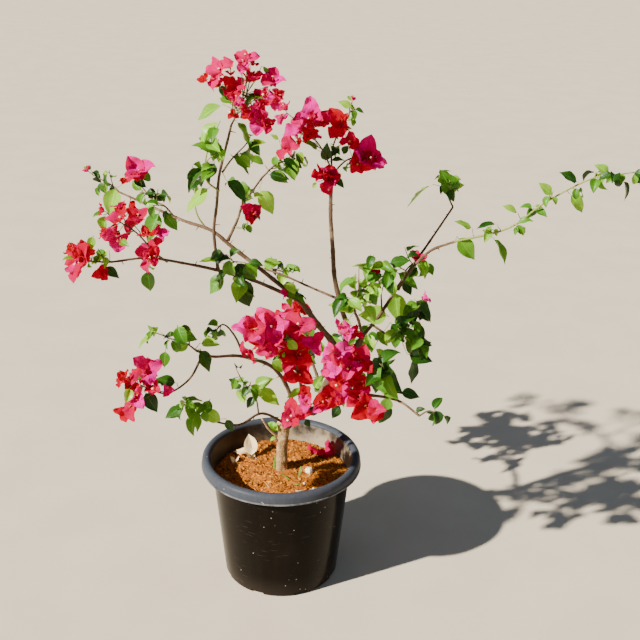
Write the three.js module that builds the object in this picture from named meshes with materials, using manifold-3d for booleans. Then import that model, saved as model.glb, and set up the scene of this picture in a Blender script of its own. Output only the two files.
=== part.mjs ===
// Bougainvillea bush in its nursery pot, in millimetres, +Z up.
// The origin is the centre of the pot's flat underside, and +Y points away from the front.
import * as THREE from "three";
import { mergeVertices } from "three/addons/utils/BufferGeometryUtils.js";
import Module from "manifold-3d";

const wasm = await Module();
wasm.setup();

// Space kept between pieces that meet
const GAP = 0.3;

// Pot: a 300 mm nursery pot whose rim is rolled over and open below
const POT = { height: 250, wall: 2.5, floor: 3, foot: 109, slope: 0.1, footEdge: 6, segments: 20 };
const RIM = { radius: 150, width: 17, drop: 20 };
const NOTCH = { count: 8, width: 26, height: 7, depth: 16, ring: 104 };
const HOLE = { count: 5, radius: 7, ring: 62, sides: 6 };

// Soil: ends below the rim and rises a little to a level patch round the trunk
const SOIL = { edge: 207, shoulder: 3.5, shoulderAt: 0.6, rise: 6, patch: 26, segments: 20 };

// Trunk: from its flat cut on the soil, with its root flare, to the pruned end above the lowest fork
const TRUNK_FOOT = SOIL.edge + SOIL.rise + GAP;
const TRUNK = { radius: 10.5, flare: 6, flareHeight: 9, knob: 1.5, knobAt: 305, knobHeight: 12,
  stepsPerSpan: 3, sides: 10, cut: 80 };
const TRUNK_ROUTE = [[0, 6, TRUNK_FOOT - 6], [1, 6, 245], [3, 6, 285], [5, 6, 320]];

// Limbs: radius at the foot and at the tip, and the centre line. Each is cut clear of those before it.
const LIMB = { stepsPerSpan: 2, sides: 5 };
const LIMBS = {
  main_stem: { foot: 8.5, tip: 7,
    route: [[5, 6, 305], [40, 15, 330], [65, 20, 335], [80, 30, 375], [110, 45, 420]] },
  upright_stem: { foot: 5, tip: 3.2,
    route: [[110, 45, 420], [120, 50, 485], [110, 55, 520], [95, 60, 580], [90, 65, 635], [85, 75, 700],
      [85, 80, 780]] },
  diagonal_bough: { foot: 6, tip: 5,
    route: [[110, 45, 420], [95, 30, 465], [65, 15, 510], [35, 0, 560]] },
  upper_left_bough: { foot: 4.2, tip: 1.8,
    route: [[35, 0, 560], [-30, 10, 610], [-90, 20, 655], [-125, 30, 680], [-180, 70, 685],
      [-240, 115, 695], [-310, 160, 710]] },
  lower_left_arm: { foot: 3.6, tip: 1.6,
    route: [[35, 0, 560], [-40, -25, 605], [-100, -55, 635], [-150, -105, 665], [-205, -150, 690],
      [-255, -185, 695]] },
  upright_left_stem: { foot: 2.8, tip: 2,
    route: [[-105, -60, 640], [-110, -60, 705], [-105, -55, 750], [-100, -50, 800], [-90, -45, 840],
      [-80, -40, 880]] },
  centre_arm: { foot: 2.6, tip: 1.6,
    route: [[-95, 20, 665], [-80, 40, 695], [-70, 60, 720], [-40, 110, 755]] },
  cross_twig: { foot: 2.4, tip: 1.5,
    route: [[100, 55, 545], [50, 85, 555], [-5, 110, 570], [-40, 125, 575]] },
  right_bough: { foot: 3.6, tip: 2.4,
    route: [[110, 45, 420], [145, 25, 470], [140, -5, 520], [130, -20, 550]] },
  high_right_bough: { foot: 3.8, tip: 1.8,
    route: [[110, 45, 415], [140, 60, 455], [180, 85, 500], [215, 110, 550], [270, 160, 615],
      [320, 200, 680]] },
  long_shoot: { foot: 3, tip: 2.2,
    route: [[215, 110, 545], [235, 80, 595], [265, 55, 640], [305, 35, 665]] },
  low_right_bough: { foot: 4, tip: 1.8,
    route: [[70, 25, 350], [125, -20, 385], [175, -80, 415], [210, -120, 425], [240, -150, 415]] },
  low_left_bough: { foot: 4.4, tip: 2,
    route: [[15, 5, 320], [20, -10, 360], [10, -25, 405], [-15, -50, 455], [-65, -95, 495],
      [-110, -130, 510], [-135, -150, 530]] },
  foot_twig: { foot: 2.6, tip: 1.6,
    route: [[5, 0, 315], [-35, -30, 350], [-75, -75, 350], [-125, -120, 385]] },
  back_bough: { foot: 4.6, tip: 2.6,
    route: [[65, 20, 340], [75, 80, 340], [65, 150, 340], [55, 215, 340]] },
};

// Stems of the masses, and the shoots on them. Spreads and turns are in degrees, and a pair is a range.
const STEM = { foot: 1.8, tip: 1.1, stepsPerSpan: 2, sides: 3 };
const SHOOT = { foot: 1.2, tip: 1, spread: [35, 75], endSpread: 0.3, turn: 137.5, stray: 50,
  long: [0.6, 1], reach: 0.95, lift: 0.15 };

// Blades: points of the outline as shares of the length, and how far the edges and the tip bend
const THICKNESS = 0.03;
const LEAF = { outline: [[0.28, 0.27], [0.62, 0.25]], mid: 0.42, fold: 0.3, droop: 0.1, neck: 0.5 };
const BRACT = { outline: [[0.3, 0.17], [0.62, 0.33]], mid: 0.42, fold: -0.3, droop: -0.1, open: 42 };

// Leaves sit between two shares of their shoot, hang by a share of their length and face up and forward
const LEAFING = { low: 0.3, end: [0.9, 1], spread: [45, 70], turn: 180, stray: 140, hang: [0.2, 0.9],
  facing: [-0.2, -0.45, 0.9], sway: 1.2, long: [0.8, 1.2] };

// Blossoms are rings of three bracts, first at the tips of the shoots and then on stalks beside them
const BLOOM = { bracts: 3, step: 0.3, endSpread: [20, 50], sideSpread: [50, 70], lift: 0.25,
  endStalk: 4, sideStalk: [10, 18], long: [0.85, 1.15] };
const HUB = { stalk: 0.8, radius: 1.1, rise: 1.5, sunk: 1.2 };

// Least distances: to a limb, to a neighbour's stem, and as shares of a length between blades of one mass
const CLEAR = { shoot: 2.5, blade: 3, neighbour: 1.5, bloom: 0.7, leafToBloom: 0.6, leafToLeaf: 0.3 };
const FINEST = 0.2;

// Masses of leaves and blossom: each grows from one stem by the same seeded rule.
// `bare` is the share of the stem without shoots, and `reach` is the length of the longest shoot.
const MASSES = {
  // Top of the upright left stem
  top_blossom: { seed: 106, shoots: 9, leaves: 6, blooms: 27, leaf: 42, bract: 36, bare: 0.2, reach: 60,
    route: [[-80, -40, 880], [-70, -40, 900], [-55, -30, 930]] },
  top_foliage: { seed: 117, shoots: 4, leaves: 9, blooms: 0, leaf: 48, bract: 30, bare: 0.15, reach: 34,
    route: [[-100, -55, 775], [-120, -60, 795], [-120, -60, 830], [-110, -60, 860]] },
  top_side_foliage: { seed: 87, shoots: 2, leaves: 5, blooms: 0, leaf: 44, bract: 30, bare: 0.3, reach: 24,
    route: [[-95, -50, 805], [-80, -40, 825], [-60, -35, 845]] },
  // Top of the upright stem
  middle_blossom_left: { seed: 55, shoots: 6, leaves: 2, blooms: 16,
    leaf: 40, bract: 38, bare: 0.35, reach: 42,
    route: [[85, 80, 780], [65, 80, 820], [35, 80, 855]] },
  middle_blossom_right: { seed: 282, shoots: 4, leaves: 2, blooms: 10,
    leaf: 40, bract: 40, bare: 0.45, reach: 32,
    route: [[85, 80, 770], [110, 85, 795], [140, 90, 805]] },
  middle_foliage: { seed: 137, shoots: 5, leaves: 9, blooms: 3, leaf: 38, bract: 36, bare: 0.2, reach: 28,
    route: [[85, 80, 785], [85, 90, 810], [95, 100, 840], [115, 105, 875]] },
  middle_blossom_low: { seed: 149, shoots: 2, leaves: 2, blooms: 2,
    leaf: 36, bract: 38, bare: 0.4, reach: 20,
    route: [[85, 75, 735], [80, 60, 750], [75, 50, 770]] },
  // Between the two tops
  centre_top_foliage: { seed: 86, shoots: 4, leaves: 9, blooms: 0,
    leaf: 44, bract: 30, bare: 0.1, reach: 36,
    route: [[-40, 110, 755], [-15, 130, 775], [15, 150, 780]] },
  centre_mid_foliage: { seed: 141, shoots: 3, leaves: 6, blooms: 0,
    leaf: 48, bract: 30, bare: 0.15, reach: 34,
    route: [[-75, 50, 710], [-70, 35, 730], [-70, 20, 755]] },
  centre_single_blossom: { seed: 85, shoots: 2, leaves: 3, blooms: 2,
    leaf: 36, bract: 36, bare: 0.5, reach: 14,
    route: [[-85, 35, 685], [-65, 20, 690], [-55, 10, 715]] },
  young_shoot: { seed: 299, shoots: 2, leaves: 3, blooms: 0, leaf: 62, bract: 30, bare: 0.5, reach: 14,
    route: [[-135, 40, 680], [-150, 40, 705], [-155, 50, 735], [-150, 55, 770]] },
  // Upper left
  left_high_foliage: { seed: 196, shoots: 4, leaves: 10, blooms: 1,
    leaf: 48, bract: 36, bare: 0.1, reach: 36,
    route: [[-200, 85, 690], [-215, 88, 706], [-238, 104, 712], [-260, 125, 730]] },
  left_far_foliage: { seed: 119, shoots: 3, leaves: 6, blooms: 1, leaf: 44, bract: 30, bare: 0.1, reach: 30,
    route: [[-310, 160, 710], [-325, 170, 720], [-350, 180, 730]] },
  left_blossom: { seed: 181, shoots: 6, leaves: 3, blooms: 14, leaf: 46, bract: 38, bare: 0.15, reach: 36,
    route: [[-180, -125, 675], [-195, -150, 700], [-220, -160, 735], [-245, -155, 750]] },
  left_tip_blossom: { seed: 203, shoots: 4, leaves: 7, blooms: 3, leaf: 38, bract: 36, bare: 0.1, reach: 30,
    route: [[-255, -185, 695], [-270, -200, 700], [-290, -210, 705]] },
  left_inner_foliage: { seed: 271, shoots: 4, leaves: 8, blooms: 0,
    leaf: 52, bract: 30, bare: 0.3, reach: 36,
    route: [[-90, -50, 630], [-80, -70, 655], [-70, -90, 665]] },
  left_hanging_foliage: { seed: 265, shoots: 1, leaves: 2, blooms: 0,
    leaf: 62, bract: 30, bare: 0.3, reach: 14,
    route: [[-60, -30, 615], [-60, -50, 620], [-65, -60, 610]] },
  // Middle
  centre_foliage: { seed: 248, shoots: 3, leaves: 6, blooms: 0, leaf: 42, bract: 30, bare: 0.1, reach: 26,
    route: [[-40, 125, 575], [-25, 140, 570], [0, 150, 560]] },
  fork_foliage: { seed: 99, shoots: 3, leaves: 4, blooms: 1, leaf: 42, bract: 24, bare: 0.3, reach: 22,
    route: [[30, 0, 565], [20, -10, 575], [10, -25, 585]] },
  // Lower left
  low_left_foliage: { seed: 260, shoots: 4, leaves: 8, blooms: 0, leaf: 46, bract: 30, bare: 0.1, reach: 30,
    route: [[-135, -150, 530], [-150, -165, 550], [-175, -180, 565]] },
  arch_foliage: { seed: 201, shoots: 3, leaves: 6, blooms: 0,
    leaf: 44, bract: 30, bare: 0.5, reach: 26, foot: 2.2,
    route: [[-60, -90, 490], [-75, -100, 535], [-95, -110, 560], [-115, -125, 535]] },
  low_left_blossom: { seed: 151, shoots: 6, leaves: 7, blooms: 14,
    leaf: 46, bract: 40, bare: 0.62, reach: 48, foot: 2.2,
    route: [[-125, -145, 520], [-145, -165, 485], [-180, -190, 470], [-215, -205, 490]] },
  low_foot_foliage: { seed: 18, shoots: 5, leaves: 11, blooms: 0,
    leaf: 48, bract: 30, bare: 0.05, reach: 38,
    route: [[-125, -120, 385], [-140, -135, 405], [-160, -150, 430]] },
  low_mid_foliage: { seed: 298, shoots: 4, leaves: 8, blooms: 0, leaf: 46, bract: 30, bare: 0.3, reach: 34,
    route: [[-40, -35, 350], [-45, -50, 395], [-65, -65, 430]] },
  // Front
  front_blossom_left: { seed: 128, shoots: 11, leaves: 6, blooms: 33,
    leaf: 42, bract: 44, bare: 0.42, reach: 52, foot: 3.2,
    route: [[40, 15, 325], [35, -70, 440], [15, -120, 525], [-35, -130, 570]] },
  front_blossom_right: { seed: 44, shoots: 8, leaves: 3, blooms: 24,
    leaf: 42, bract: 44, bare: 0.35, reach: 50, foot: 3.2,
    route: [[75, 25, 355], [95, -60, 430], [110, -125, 495], [110, -150, 535]] },
  front_blossom_outer: { seed: 33, shoots: 5, leaves: 1, blooms: 13,
    leaf: 44, bract: 44, bare: 0.45, reach: 36, foot: 2.8,
    route: [[95, 40, 390], [130, -50, 410], [145, -110, 430], [155, -140, 430]] },
  front_blossom_low: { seed: 256, shoots: 5, leaves: 3, blooms: 11,
    leaf: 44, bract: 42, bare: 0.45, reach: 34, foot: 2.8,
    route: [[35, 10, 325], [55, -70, 390], [45, -120, 420], [30, -150, 420]] },
  // Right
  right_inner_foliage: { seed: 140, shoots: 5, leaves: 11, blooms: 0,
    leaf: 46, bract: 30, bare: 0, reach: 44,
    route: [[130, -20, 550], [130, -30, 570], [135, -35, 595]] },
  right_mid_foliage: { seed: 117, shoots: 4, leaves: 9, blooms: 0,
    leaf: 54, bract: 30, bare: 0.2, reach: 40,
    route: [[185, 90, 510], [180, 75, 555], [170, 65, 595]] },
  right_top_foliage: { seed: 218, shoots: 4, leaves: 9, blooms: 2,
    leaf: 50, bract: 28, bare: 0.2, reach: 38,
    route: [[225, 120, 560], [230, 110, 585], [245, 100, 605]] },
  right_outer_foliage: { seed: 12, shoots: 6, leaves: 13, blooms: 1,
    leaf: 48, bract: 26, bare: 0.3, reach: 44, foot: 2.4,
    route: [[165, 80, 485], [200, 60, 470], [225, 50, 475], [240, 45, 515]] },
  right_low_foliage: { seed: 90, shoots: 4, leaves: 8, blooms: 0, leaf: 62, bract: 30, bare: 0.2, reach: 34,
    route: [[185, -90, 420], [190, -110, 450], [180, -130, 485]] },
  low_right_tip_foliage: { seed: 185, shoots: 2, leaves: 4, blooms: 0,
    leaf: 36, bract: 30, bare: 0.1, reach: 14,
    route: [[240, -150, 415], [255, -160, 430], [270, -165, 425]] },
  high_right_foliage: { seed: 17, shoots: 3, leaves: 6, blooms: 0, leaf: 44, bract: 30, bare: 0, reach: 34,
    route: [[320, 200, 680], [310, 210, 700], [305, 215, 715]] },
  long_shoot_foliage: { seed: 158, shoots: 8, leaves: 17, blooms: 0,
    leaf: 38, bract: 30, bare: 0.05, reach: 12, foot: 2.1,
    route: [[305, 35, 665], [390, 5, 700], [445, -20, 755], [510, -50, 805], [560, -70, 820]] },
  // Back
  back_blossom: { seed: 209, shoots: 6, leaves: 7, blooms: 11,
    leaf: 46, bract: 38, bare: 0.1, reach: 66, foot: 2.4,
    route: [[55, 215, 340], [40, 245, 355], [30, 270, 365]] },
  back_foliage: { seed: 99, shoots: 6, leaves: 14, blooms: 0,
    leaf: 48, bract: 30, bare: 0.2, reach: 66, foot: 2.4,
    route: [[70, 140, 335], [100, 190, 340], [125, 240, 345]] },
};

const COLOURS = {
  pot: { color: 0x1d1c1f, roughness: 0.42 },
  soil: { color: 0x9a5a2c, roughness: 0.95 },
  bark: { color: 0x8b7358, roughness: 0.85 },
  leaves: { color: 0x4f8a2a, roughness: 0.5 },
  blossom: { color: 0xd92a5f, roughness: 0.6 },
};

const UP = new THREE.Vector3(0, 0, 1);
const vector = (numbers) => new THREE.Vector3(...numbers);
const radians = THREE.MathUtils.degToRad;

// Numbers from 0 to 1 that are the same on every run for one seed
function randomStream(seed) {
  let state = Math.imul(seed, 2654435761) >>> 0;
  return () => {
    state = (Math.imul(state, 1664525) + 1013904223) >>> 0;
    return state / 4294967296;
  };
}

const lineThrough = (points) => new THREE.CatmullRomCurve3(points, false, "catmullrom", 0.5);

const pointsAlong = (line, steps) =>
  Array.from({ length: steps + 1 }, (_, i) => line.getPoint(i / steps));

// A point and the direction on a row of centres, for what grows there
function seatOn(centres, share) {
  const place = share * (centres.length - 1);
  const i = Math.min(Math.floor(place), centres.length - 2);
  const along = centres[i + 1].clone().sub(centres[i]).normalize();
  return { at: centres[i].clone().lerp(centres[i + 1], place - i), along };
}

// A direction square to another, level where it can be
function across(along) {
  const side = along.clone().cross(UP);
  if (side.length() < 0.05) side.crossVectors(along, new THREE.Vector3(1, 0, 0));
  return side.normalize();
}

// The direction that leans away from another by `spread` degrees, on the side given by `turn`
function turned(along, spread, turn) {
  const first = across(along);
  const second = along.clone().cross(first);
  const out = first.multiplyScalar(Math.cos(radians(turn)));
  out.addScaledVector(second, Math.sin(radians(turn)));
  return out.multiplyScalar(Math.sin(radians(spread))).addScaledVector(along, Math.cos(radians(spread)));
}

function geometryOf(positions, faces) {
  const geometry = new THREE.BufferGeometry();
  const numbers = positions.flatMap((p) => [p.x, p.y, p.z]);
  geometry.setAttribute("position", new THREE.Float32BufferAttribute(numbers, 3));
  geometry.setIndex(faces);
  return geometry;
}

function solidOf(geometry) {
  const bare = geometry.clone();
  bare.deleteAttribute("normal");
  bare.deleteAttribute("uv");
  const merged = mergeVertices(bare, 1e-4);
  const vertProperties = new Float32Array(merged.attributes.position.array);
  const triVerts = new Uint32Array(merged.index.array);
  return new wasm.Manifold(new wasm.Mesh({ numProp: 3, vertProperties, triVerts }));
}

// The largest body of a solid, without loose scraps or sealed hollows
function wholeOf(solid) {
  const bodies = solid.decompose();
  return bodies.reduce((best, body) => (body.volume() > best.volume() ? body : best));
}

function meshOf(name, solid, look) {
  const { vertProperties, triVerts } = solid.getMesh();
  const geometry = new THREE.BufferGeometry();
  geometry.setAttribute("position", new THREE.Float32BufferAttribute(vertProperties, 3));
  geometry.setIndex([...triVerts]);
  geometry.computeVertexNormals();
  const mesh = new THREE.Mesh(geometry, new THREE.MeshStandardMaterial({ ...look, metalness: 0 }));
  mesh.name = name;
  return mesh;
}

// A closed tube with flat ends: centre points, the radius at each, and the number of sides
function tube({ centres, radii, sides }) {
  const positions = [];
  const faces = [];
  const last = centres.length - 1;
  let side = across(centres[1].clone().sub(centres[0]).normalize());
  centres.forEach((centre, i) => {
    const along = centres[Math.min(i + 1, last)].clone().sub(centres[Math.max(i - 1, 0)]).normalize();
    side = side.clone().addScaledVector(along, -side.dot(along)).normalize();
    const other = along.clone().cross(side);
    for (let k = 0; k < sides; k++) {
      const angle = (2 * Math.PI * k) / sides;
      const rim = centre.clone().addScaledVector(side, radii[i] * Math.cos(angle));
      positions.push(rim.addScaledVector(other, radii[i] * Math.sin(angle)));
    }
  });
  for (let i = 0; i < last; i++) {
    for (let k = 0; k < sides; k++) {
      const a = i * sides + k;
      const b = i * sides + ((k + 1) % sides);
      faces.push(a, b, b + sides, a, b + sides, a + sides);
    }
  }
  for (let k = 1; k < sides - 1; k++) {
    faces.push(0, k + 1, k);
    faces.push(last * sides, last * sides + k, last * sides + k + 1);
  }
  return solidOf(geometryOf(positions, faces));
}

// The same tube grown by the gap all round and at both ends, to cut its neighbours clear of it
function clearanceTube({ centres, radii, sides }) {
  const last = centres.length - 1;
  const grown = centres.map((centre) => centre.clone());
  grown[0].add(centres[0].clone().sub(centres[1]).setLength(GAP));
  grown[last].add(centres[last].clone().sub(centres[last - 1]).setLength(GAP));
  const growth = GAP / Math.cos(Math.PI / sides);
  return tube({ centres: grown, radii: radii.map((radius) => radius + growth), sides });
}

function taper(foot, tip, count) {
  return Array.from({ length: count }, (_, i) => foot + ((tip - foot) * i) / (count - 1));
}

const wallRadius = (z) => POT.foot + POT.slope * z;

function arc(x, z, radius, from, to, steps) {
  return Array.from({ length: steps + 1 }, (_, i) => {
    const angle = radians(from + ((to - from) * i) / steps);
    return new THREE.Vector2(x + radius * Math.cos(angle), z + radius * Math.sin(angle));
  });
}

const lathe = (profile, segments) =>
  solidOf(new THREE.LatheGeometry(profile, segments).rotateX(Math.PI / 2));

function potSolid() {
  const roll = RIM.width / 2;
  const rollCentre = RIM.radius - roll;
  const rollHeight = POT.height - roll;
  const lip = POT.height - RIM.drop;
  const edge = POT.footEdge;
  const inside = (z) => new THREE.Vector2(wallRadius(z) - POT.wall, z);
  let pot = lathe([
    new THREE.Vector2(0, 0),
    ...arc(wallRadius(edge) - edge, edge, edge, -90, 0, 2),
    ...arc(rollCentre, rollHeight, roll - POT.wall, 180, 0, 3),
    new THREE.Vector2(RIM.radius - POT.wall, lip),
    new THREE.Vector2(RIM.radius, lip),
    ...arc(rollCentre, rollHeight, roll, 0, 180, 4),
    inside(lip),
    inside(POT.floor),
    new THREE.Vector2(0, POT.floor),
  ], POT.segments);
  const height = 2 * NOTCH.height;
  for (let i = 0; i < NOTCH.count; i++) {
    const cutter = new THREE.BoxGeometry(NOTCH.depth, NOTCH.width, height);
    cutter.translate(NOTCH.ring, 0, 0).rotateZ((2 * Math.PI * (i + 0.5)) / NOTCH.count);
    pot = pot.subtract(solidOf(cutter));
  }
  for (let i = 0; i < HOLE.count; i++) {
    const cutter = new THREE.CylinderGeometry(HOLE.radius, HOLE.radius, height, HOLE.sides);
    cutter.rotateX(Math.PI / 2).translate(HOLE.ring, 0, 0).rotateZ((2 * Math.PI * i) / HOLE.count);
    pot = pot.subtract(solidOf(cutter));
  }
  return wholeOf(pot);
}

function soilSolid() {
  const inside = (z) => wallRadius(z) - POT.wall - GAP;
  const low = POT.floor + GAP;
  return lathe([
    new THREE.Vector2(0, low),
    new THREE.Vector2(inside(low), low),
    new THREE.Vector2(inside(SOIL.edge), SOIL.edge),
    new THREE.Vector2(SOIL.shoulderAt * inside(SOIL.edge), SOIL.edge + SOIL.shoulder),
    new THREE.Vector2(SOIL.patch, SOIL.edge + SOIL.rise),
    new THREE.Vector2(0, SOIL.edge + SOIL.rise),
  ], SOIL.segments);
}

function trunkForm() {
  const line = lineThrough(TRUNK_ROUTE.map(vector));
  const centres = pointsAlong(line, TRUNK.stepsPerSpan * (TRUNK_ROUTE.length - 1));
  const radii = centres.map(({ z }) => {
    const flare = TRUNK.flare * Math.exp((TRUNK_FOOT - z) / TRUNK.flareHeight);
    const knob = TRUNK.knob * Math.exp(-(((z - TRUNK.knobAt) / TRUNK.knobHeight) ** 2));
    return TRUNK.radius + flare + knob;
  });
  return { line, centres, radii, sides: TRUNK.sides };
}

// The trunk stands on a level cut, so whatever its leaning foot has below that comes off
function trunkSolid(form) {
  const below = new THREE.BoxGeometry(TRUNK.cut, TRUNK.cut, TRUNK.cut);
  below.translate(0, 0, TRUNK_FOOT - TRUNK.cut / 2);
  return tube(form).subtract(solidOf(below));
}

function limbForm({ route, foot, tip }, { stepsPerSpan, sides }) {
  const line = lineThrough(route.map(vector));
  const centres = pointsAlong(line, stepsPerSpan * (route.length - 1));
  return { line, centres, radii: taper(foot, tip, centres.length), sides };
}

// Short straight pieces of a line, for measuring how near a point lies to it
function spansOf(line, perSpan, foot, tip) {
  const points = pointsAlong(line, perSpan * (line.points.length - 1));
  return points.slice(1).map((end, i) => {
    const radius = foot + ((tip - foot) * i) / (points.length - 1);
    return { span: new THREE.Line3(points[i], end), radius };
  });
}

const nearest = new THREE.Vector3();
const distance = ({ span, radius }, point) =>
  span.closestPointToPoint(point, true, nearest).distanceTo(point) - radius;

// True where the points lie clear of every limb and nearer to their own stem than to any other
function inOwnSpace(points, margin, own, others, limbSpans) {
  return points.every((point) => {
    if (limbSpans.some((limb) => distance(limb, point) < margin)) return false;
    const home = Math.min(...own.map((span) => distance(span, point)));
    return others.every((span) => distance(span, point) >= home + CLEAR.neighbour);
  });
}

// Places on a blade: its edge and its middle, from its root along `along`, facing `normal`
function bladePoints({ root, along, normal, long }, { outline, fold, droop }) {
  const side = normal.clone().cross(along);
  const place = (a, b, h = 0) => {
    const rise = fold * Math.abs(b) - droop * a * a + h;
    const from = root.clone().addScaledVector(along, a * long).addScaledVector(side, b * long);
    return from.addScaledVector(normal, rise * long);
  };
  const left = outline.map(([a, b]) => place(a, b));
  const right = outline.map(([a, b]) => place(a, -b)).reverse();
  return { place, side, edge: [...left, place(1, 0), ...right] };
}

// Points and faces of a blade that stands on a three-cornered root: left, right and inner corner.
// The side that the tip bends away from is drawn straight from the root.
function bladeParts(frame, shape, [left, right, inner]) {
  const { place, edge } = bladePoints(frame, shape);
  const rim = [left, ...edge, right];
  const last = rim.length - 1;
  const [base, middle] = [last + 1, last + 2];
  const faces = [];
  if (shape.droop > 0) {
    faces.push(middle, 0, last, base, 0, 1, base, last - 1, last);
    for (let i = 0; i < last; i++) faces.push(middle, i + 1, i);
    for (let i = 1; i < last - 1; i++) faces.push(base, i, i + 1);
  } else {
    faces.push(middle, last, base, middle, base, 0);
    for (let i = 0; i < last; i++) faces.push(middle, i, i + 1);
    for (let i = 1; i < last; i++) faces.push(0, i + 1, i);
  }
  const thick = shape.droop > 0 ? THICKNESS / 2 : -THICKNESS / 2;
  return { points: [...rim, inner, place(shape.mid, 0, thick)], faces, corners: [0, last, base] };
}

function leafSolid(frame) {
  const { side } = bladePoints(frame, LEAF);
  const corner = (a, n) =>
    frame.root.clone().addScaledVector(side, a * LEAF.neck).addScaledVector(frame.normal, n * LEAF.neck);
  const neck = [corner(1, 0.5), corner(-1, 0.5), corner(0, -1)];
  const { points, faces, corners } = bladeParts(frame, LEAF, neck);
  const [left, right, base] = corners;
  return solidOf(geometryOf(points, [...faces, left, base, right]));
}

// One closed body: a three-sided stalk with a bract on each side of its tip
function bloomSolid({ foot, centre, axis, outs, bracts }) {
  const count = outs.length;
  const corners = outs.map((out, i) => out.clone().add(outs[(i + count - 1) % count]).normalize());
  const low = foot.clone().addScaledVector(axis, -HUB.sunk);
  const positions = [
    ...corners.map((corner) => low.clone().addScaledVector(corner, HUB.stalk)),
    ...corners.map((corner) => centre.clone().addScaledVector(corner, HUB.radius)),
    centre.clone().addScaledVector(axis, HUB.rise),
  ];
  const faces = [0, 2, 1];
  bracts.forEach((bract, i) => {
    const next = (i + 1) % count;
    faces.push(i, next, next + count, i, next + count, i + count);
    const root = [positions[i + count], positions[next + count], positions[2 * count]];
    const parts = bladeParts(bract, BRACT, root);
    faces.push(...parts.faces.map((k) => k + positions.length));
    positions.push(...parts.points);
  });
  return solidOf(geometryOf(positions, faces));
}

const within = ([low, high], share) => low + (high - low) * share;

function shootCentres(mass, stem, i, phase, draw) {
  const { at, along } = seatOn(stem, within([mass.bare, 1], (i + 1) / mass.shoots));
  const spread = within(SHOOT.spread, draw()) * (i === mass.shoots - 1 ? SHOOT.endSpread : 1);
  const turn = phase + SHOOT.turn * i + SHOOT.stray * (draw() - 0.5);
  const long = mass.reach * within(SHOOT.long, draw());
  const tip = at.clone().addScaledVector(turned(along, spread, turn), SHOOT.reach * long);
  return [at, tip.addScaledVector(UP, SHOOT.lift * long)];
}

function leafFrame(mass, k, stem, shoots, phase, draw) {
  const round = Math.floor(k / (shoots.length + 1));
  const shoot = k % (shoots.length + 1);
  const onStem = shoot === shoots.length;
  const chance = draw();
  const atEnd = round === 0 && mass.blooms === 0;
  const range = atEnd ? LEAFING.end : [onStem ? mass.bare : LEAFING.low, 1];
  const share = within(range, atEnd ? draw() : chance);
  const { at, along } = seatOn(onStem ? stem : shoots[shoot], share);
  const turn = phase + LEAFING.turn * round + LEAFING.stray * draw();
  const out = turned(along, within(LEAFING.spread, draw()), turn);
  out.addScaledVector(UP, -within(LEAFING.hang, draw())).normalize();
  const [left, front, up] = LEAFING.facing;
  const sway = () => LEAFING.sway * (draw() - 0.5);
  const facing = new THREE.Vector3(sway() + left, sway() + front, up).normalize();
  const normal = facing.addScaledVector(out, -facing.dot(out)).normalize();
  const long = mass.leaf * within(LEAFING.long, draw());
  const middle = at.clone().addScaledVector(out, long / 2);
  return { shoot, root: at, along: out, normal, long, middle };
}

function bloomForm(mass, k, shoots, draw) {
  const shoot = shoots.length - 1 - (k % shoots.length);
  const round = Math.floor(k / shoots.length);
  const atEnd = round === 0;
  const { at, along } = seatOn(shoots[shoot], 1 - BLOOM.step * round);
  const turn = 360 * draw();
  const axis = turned(along, within(atEnd ? BLOOM.endSpread : BLOOM.sideSpread, draw()), turn);
  axis.addScaledVector(UP, BLOOM.lift).normalize();
  const stalk = atEnd ? BLOOM.endStalk : within(BLOOM.sideStalk, draw());
  const centre = at.clone().addScaledVector(axis, stalk);
  const wedge = 360 / BLOOM.bracts;
  const spin = wedge * draw();
  const long = mass.bract * within(BLOOM.long, draw());
  const first = across(axis);
  const second = axis.clone().cross(first);
  const outs = Array.from({ length: BLOOM.bracts }, (_, i) => {
    const angle = radians(spin + wedge * i);
    return first.clone().multiplyScalar(Math.cos(angle)).addScaledVector(second, Math.sin(angle));
  });
  const [shut, open] = [Math.cos(radians(BRACT.open)), Math.sin(radians(BRACT.open))];
  const bracts = outs.map((out) => ({
    root: centre,
    along: axis.clone().multiplyScalar(shut).addScaledVector(out, open),
    normal: out.clone().multiplyScalar(shut).addScaledVector(axis, -open),
    long,
  }));
  return { shoot, foot: at, centre, axis, outs, bracts, long };
}

// Points over a blade, where its clearance is measured
function bladeSamples(frame, shape) {
  const { edge } = bladePoints(frame, shape);
  const [, left, tip, right] = edge;
  const between = (a, b) => a.clone().lerp(b, 0.5);
  const inner = [between(frame.root, tip), between(left, right), between(left, tip), between(tip, right)];
  return [...edge, ...inner];
}

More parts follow.
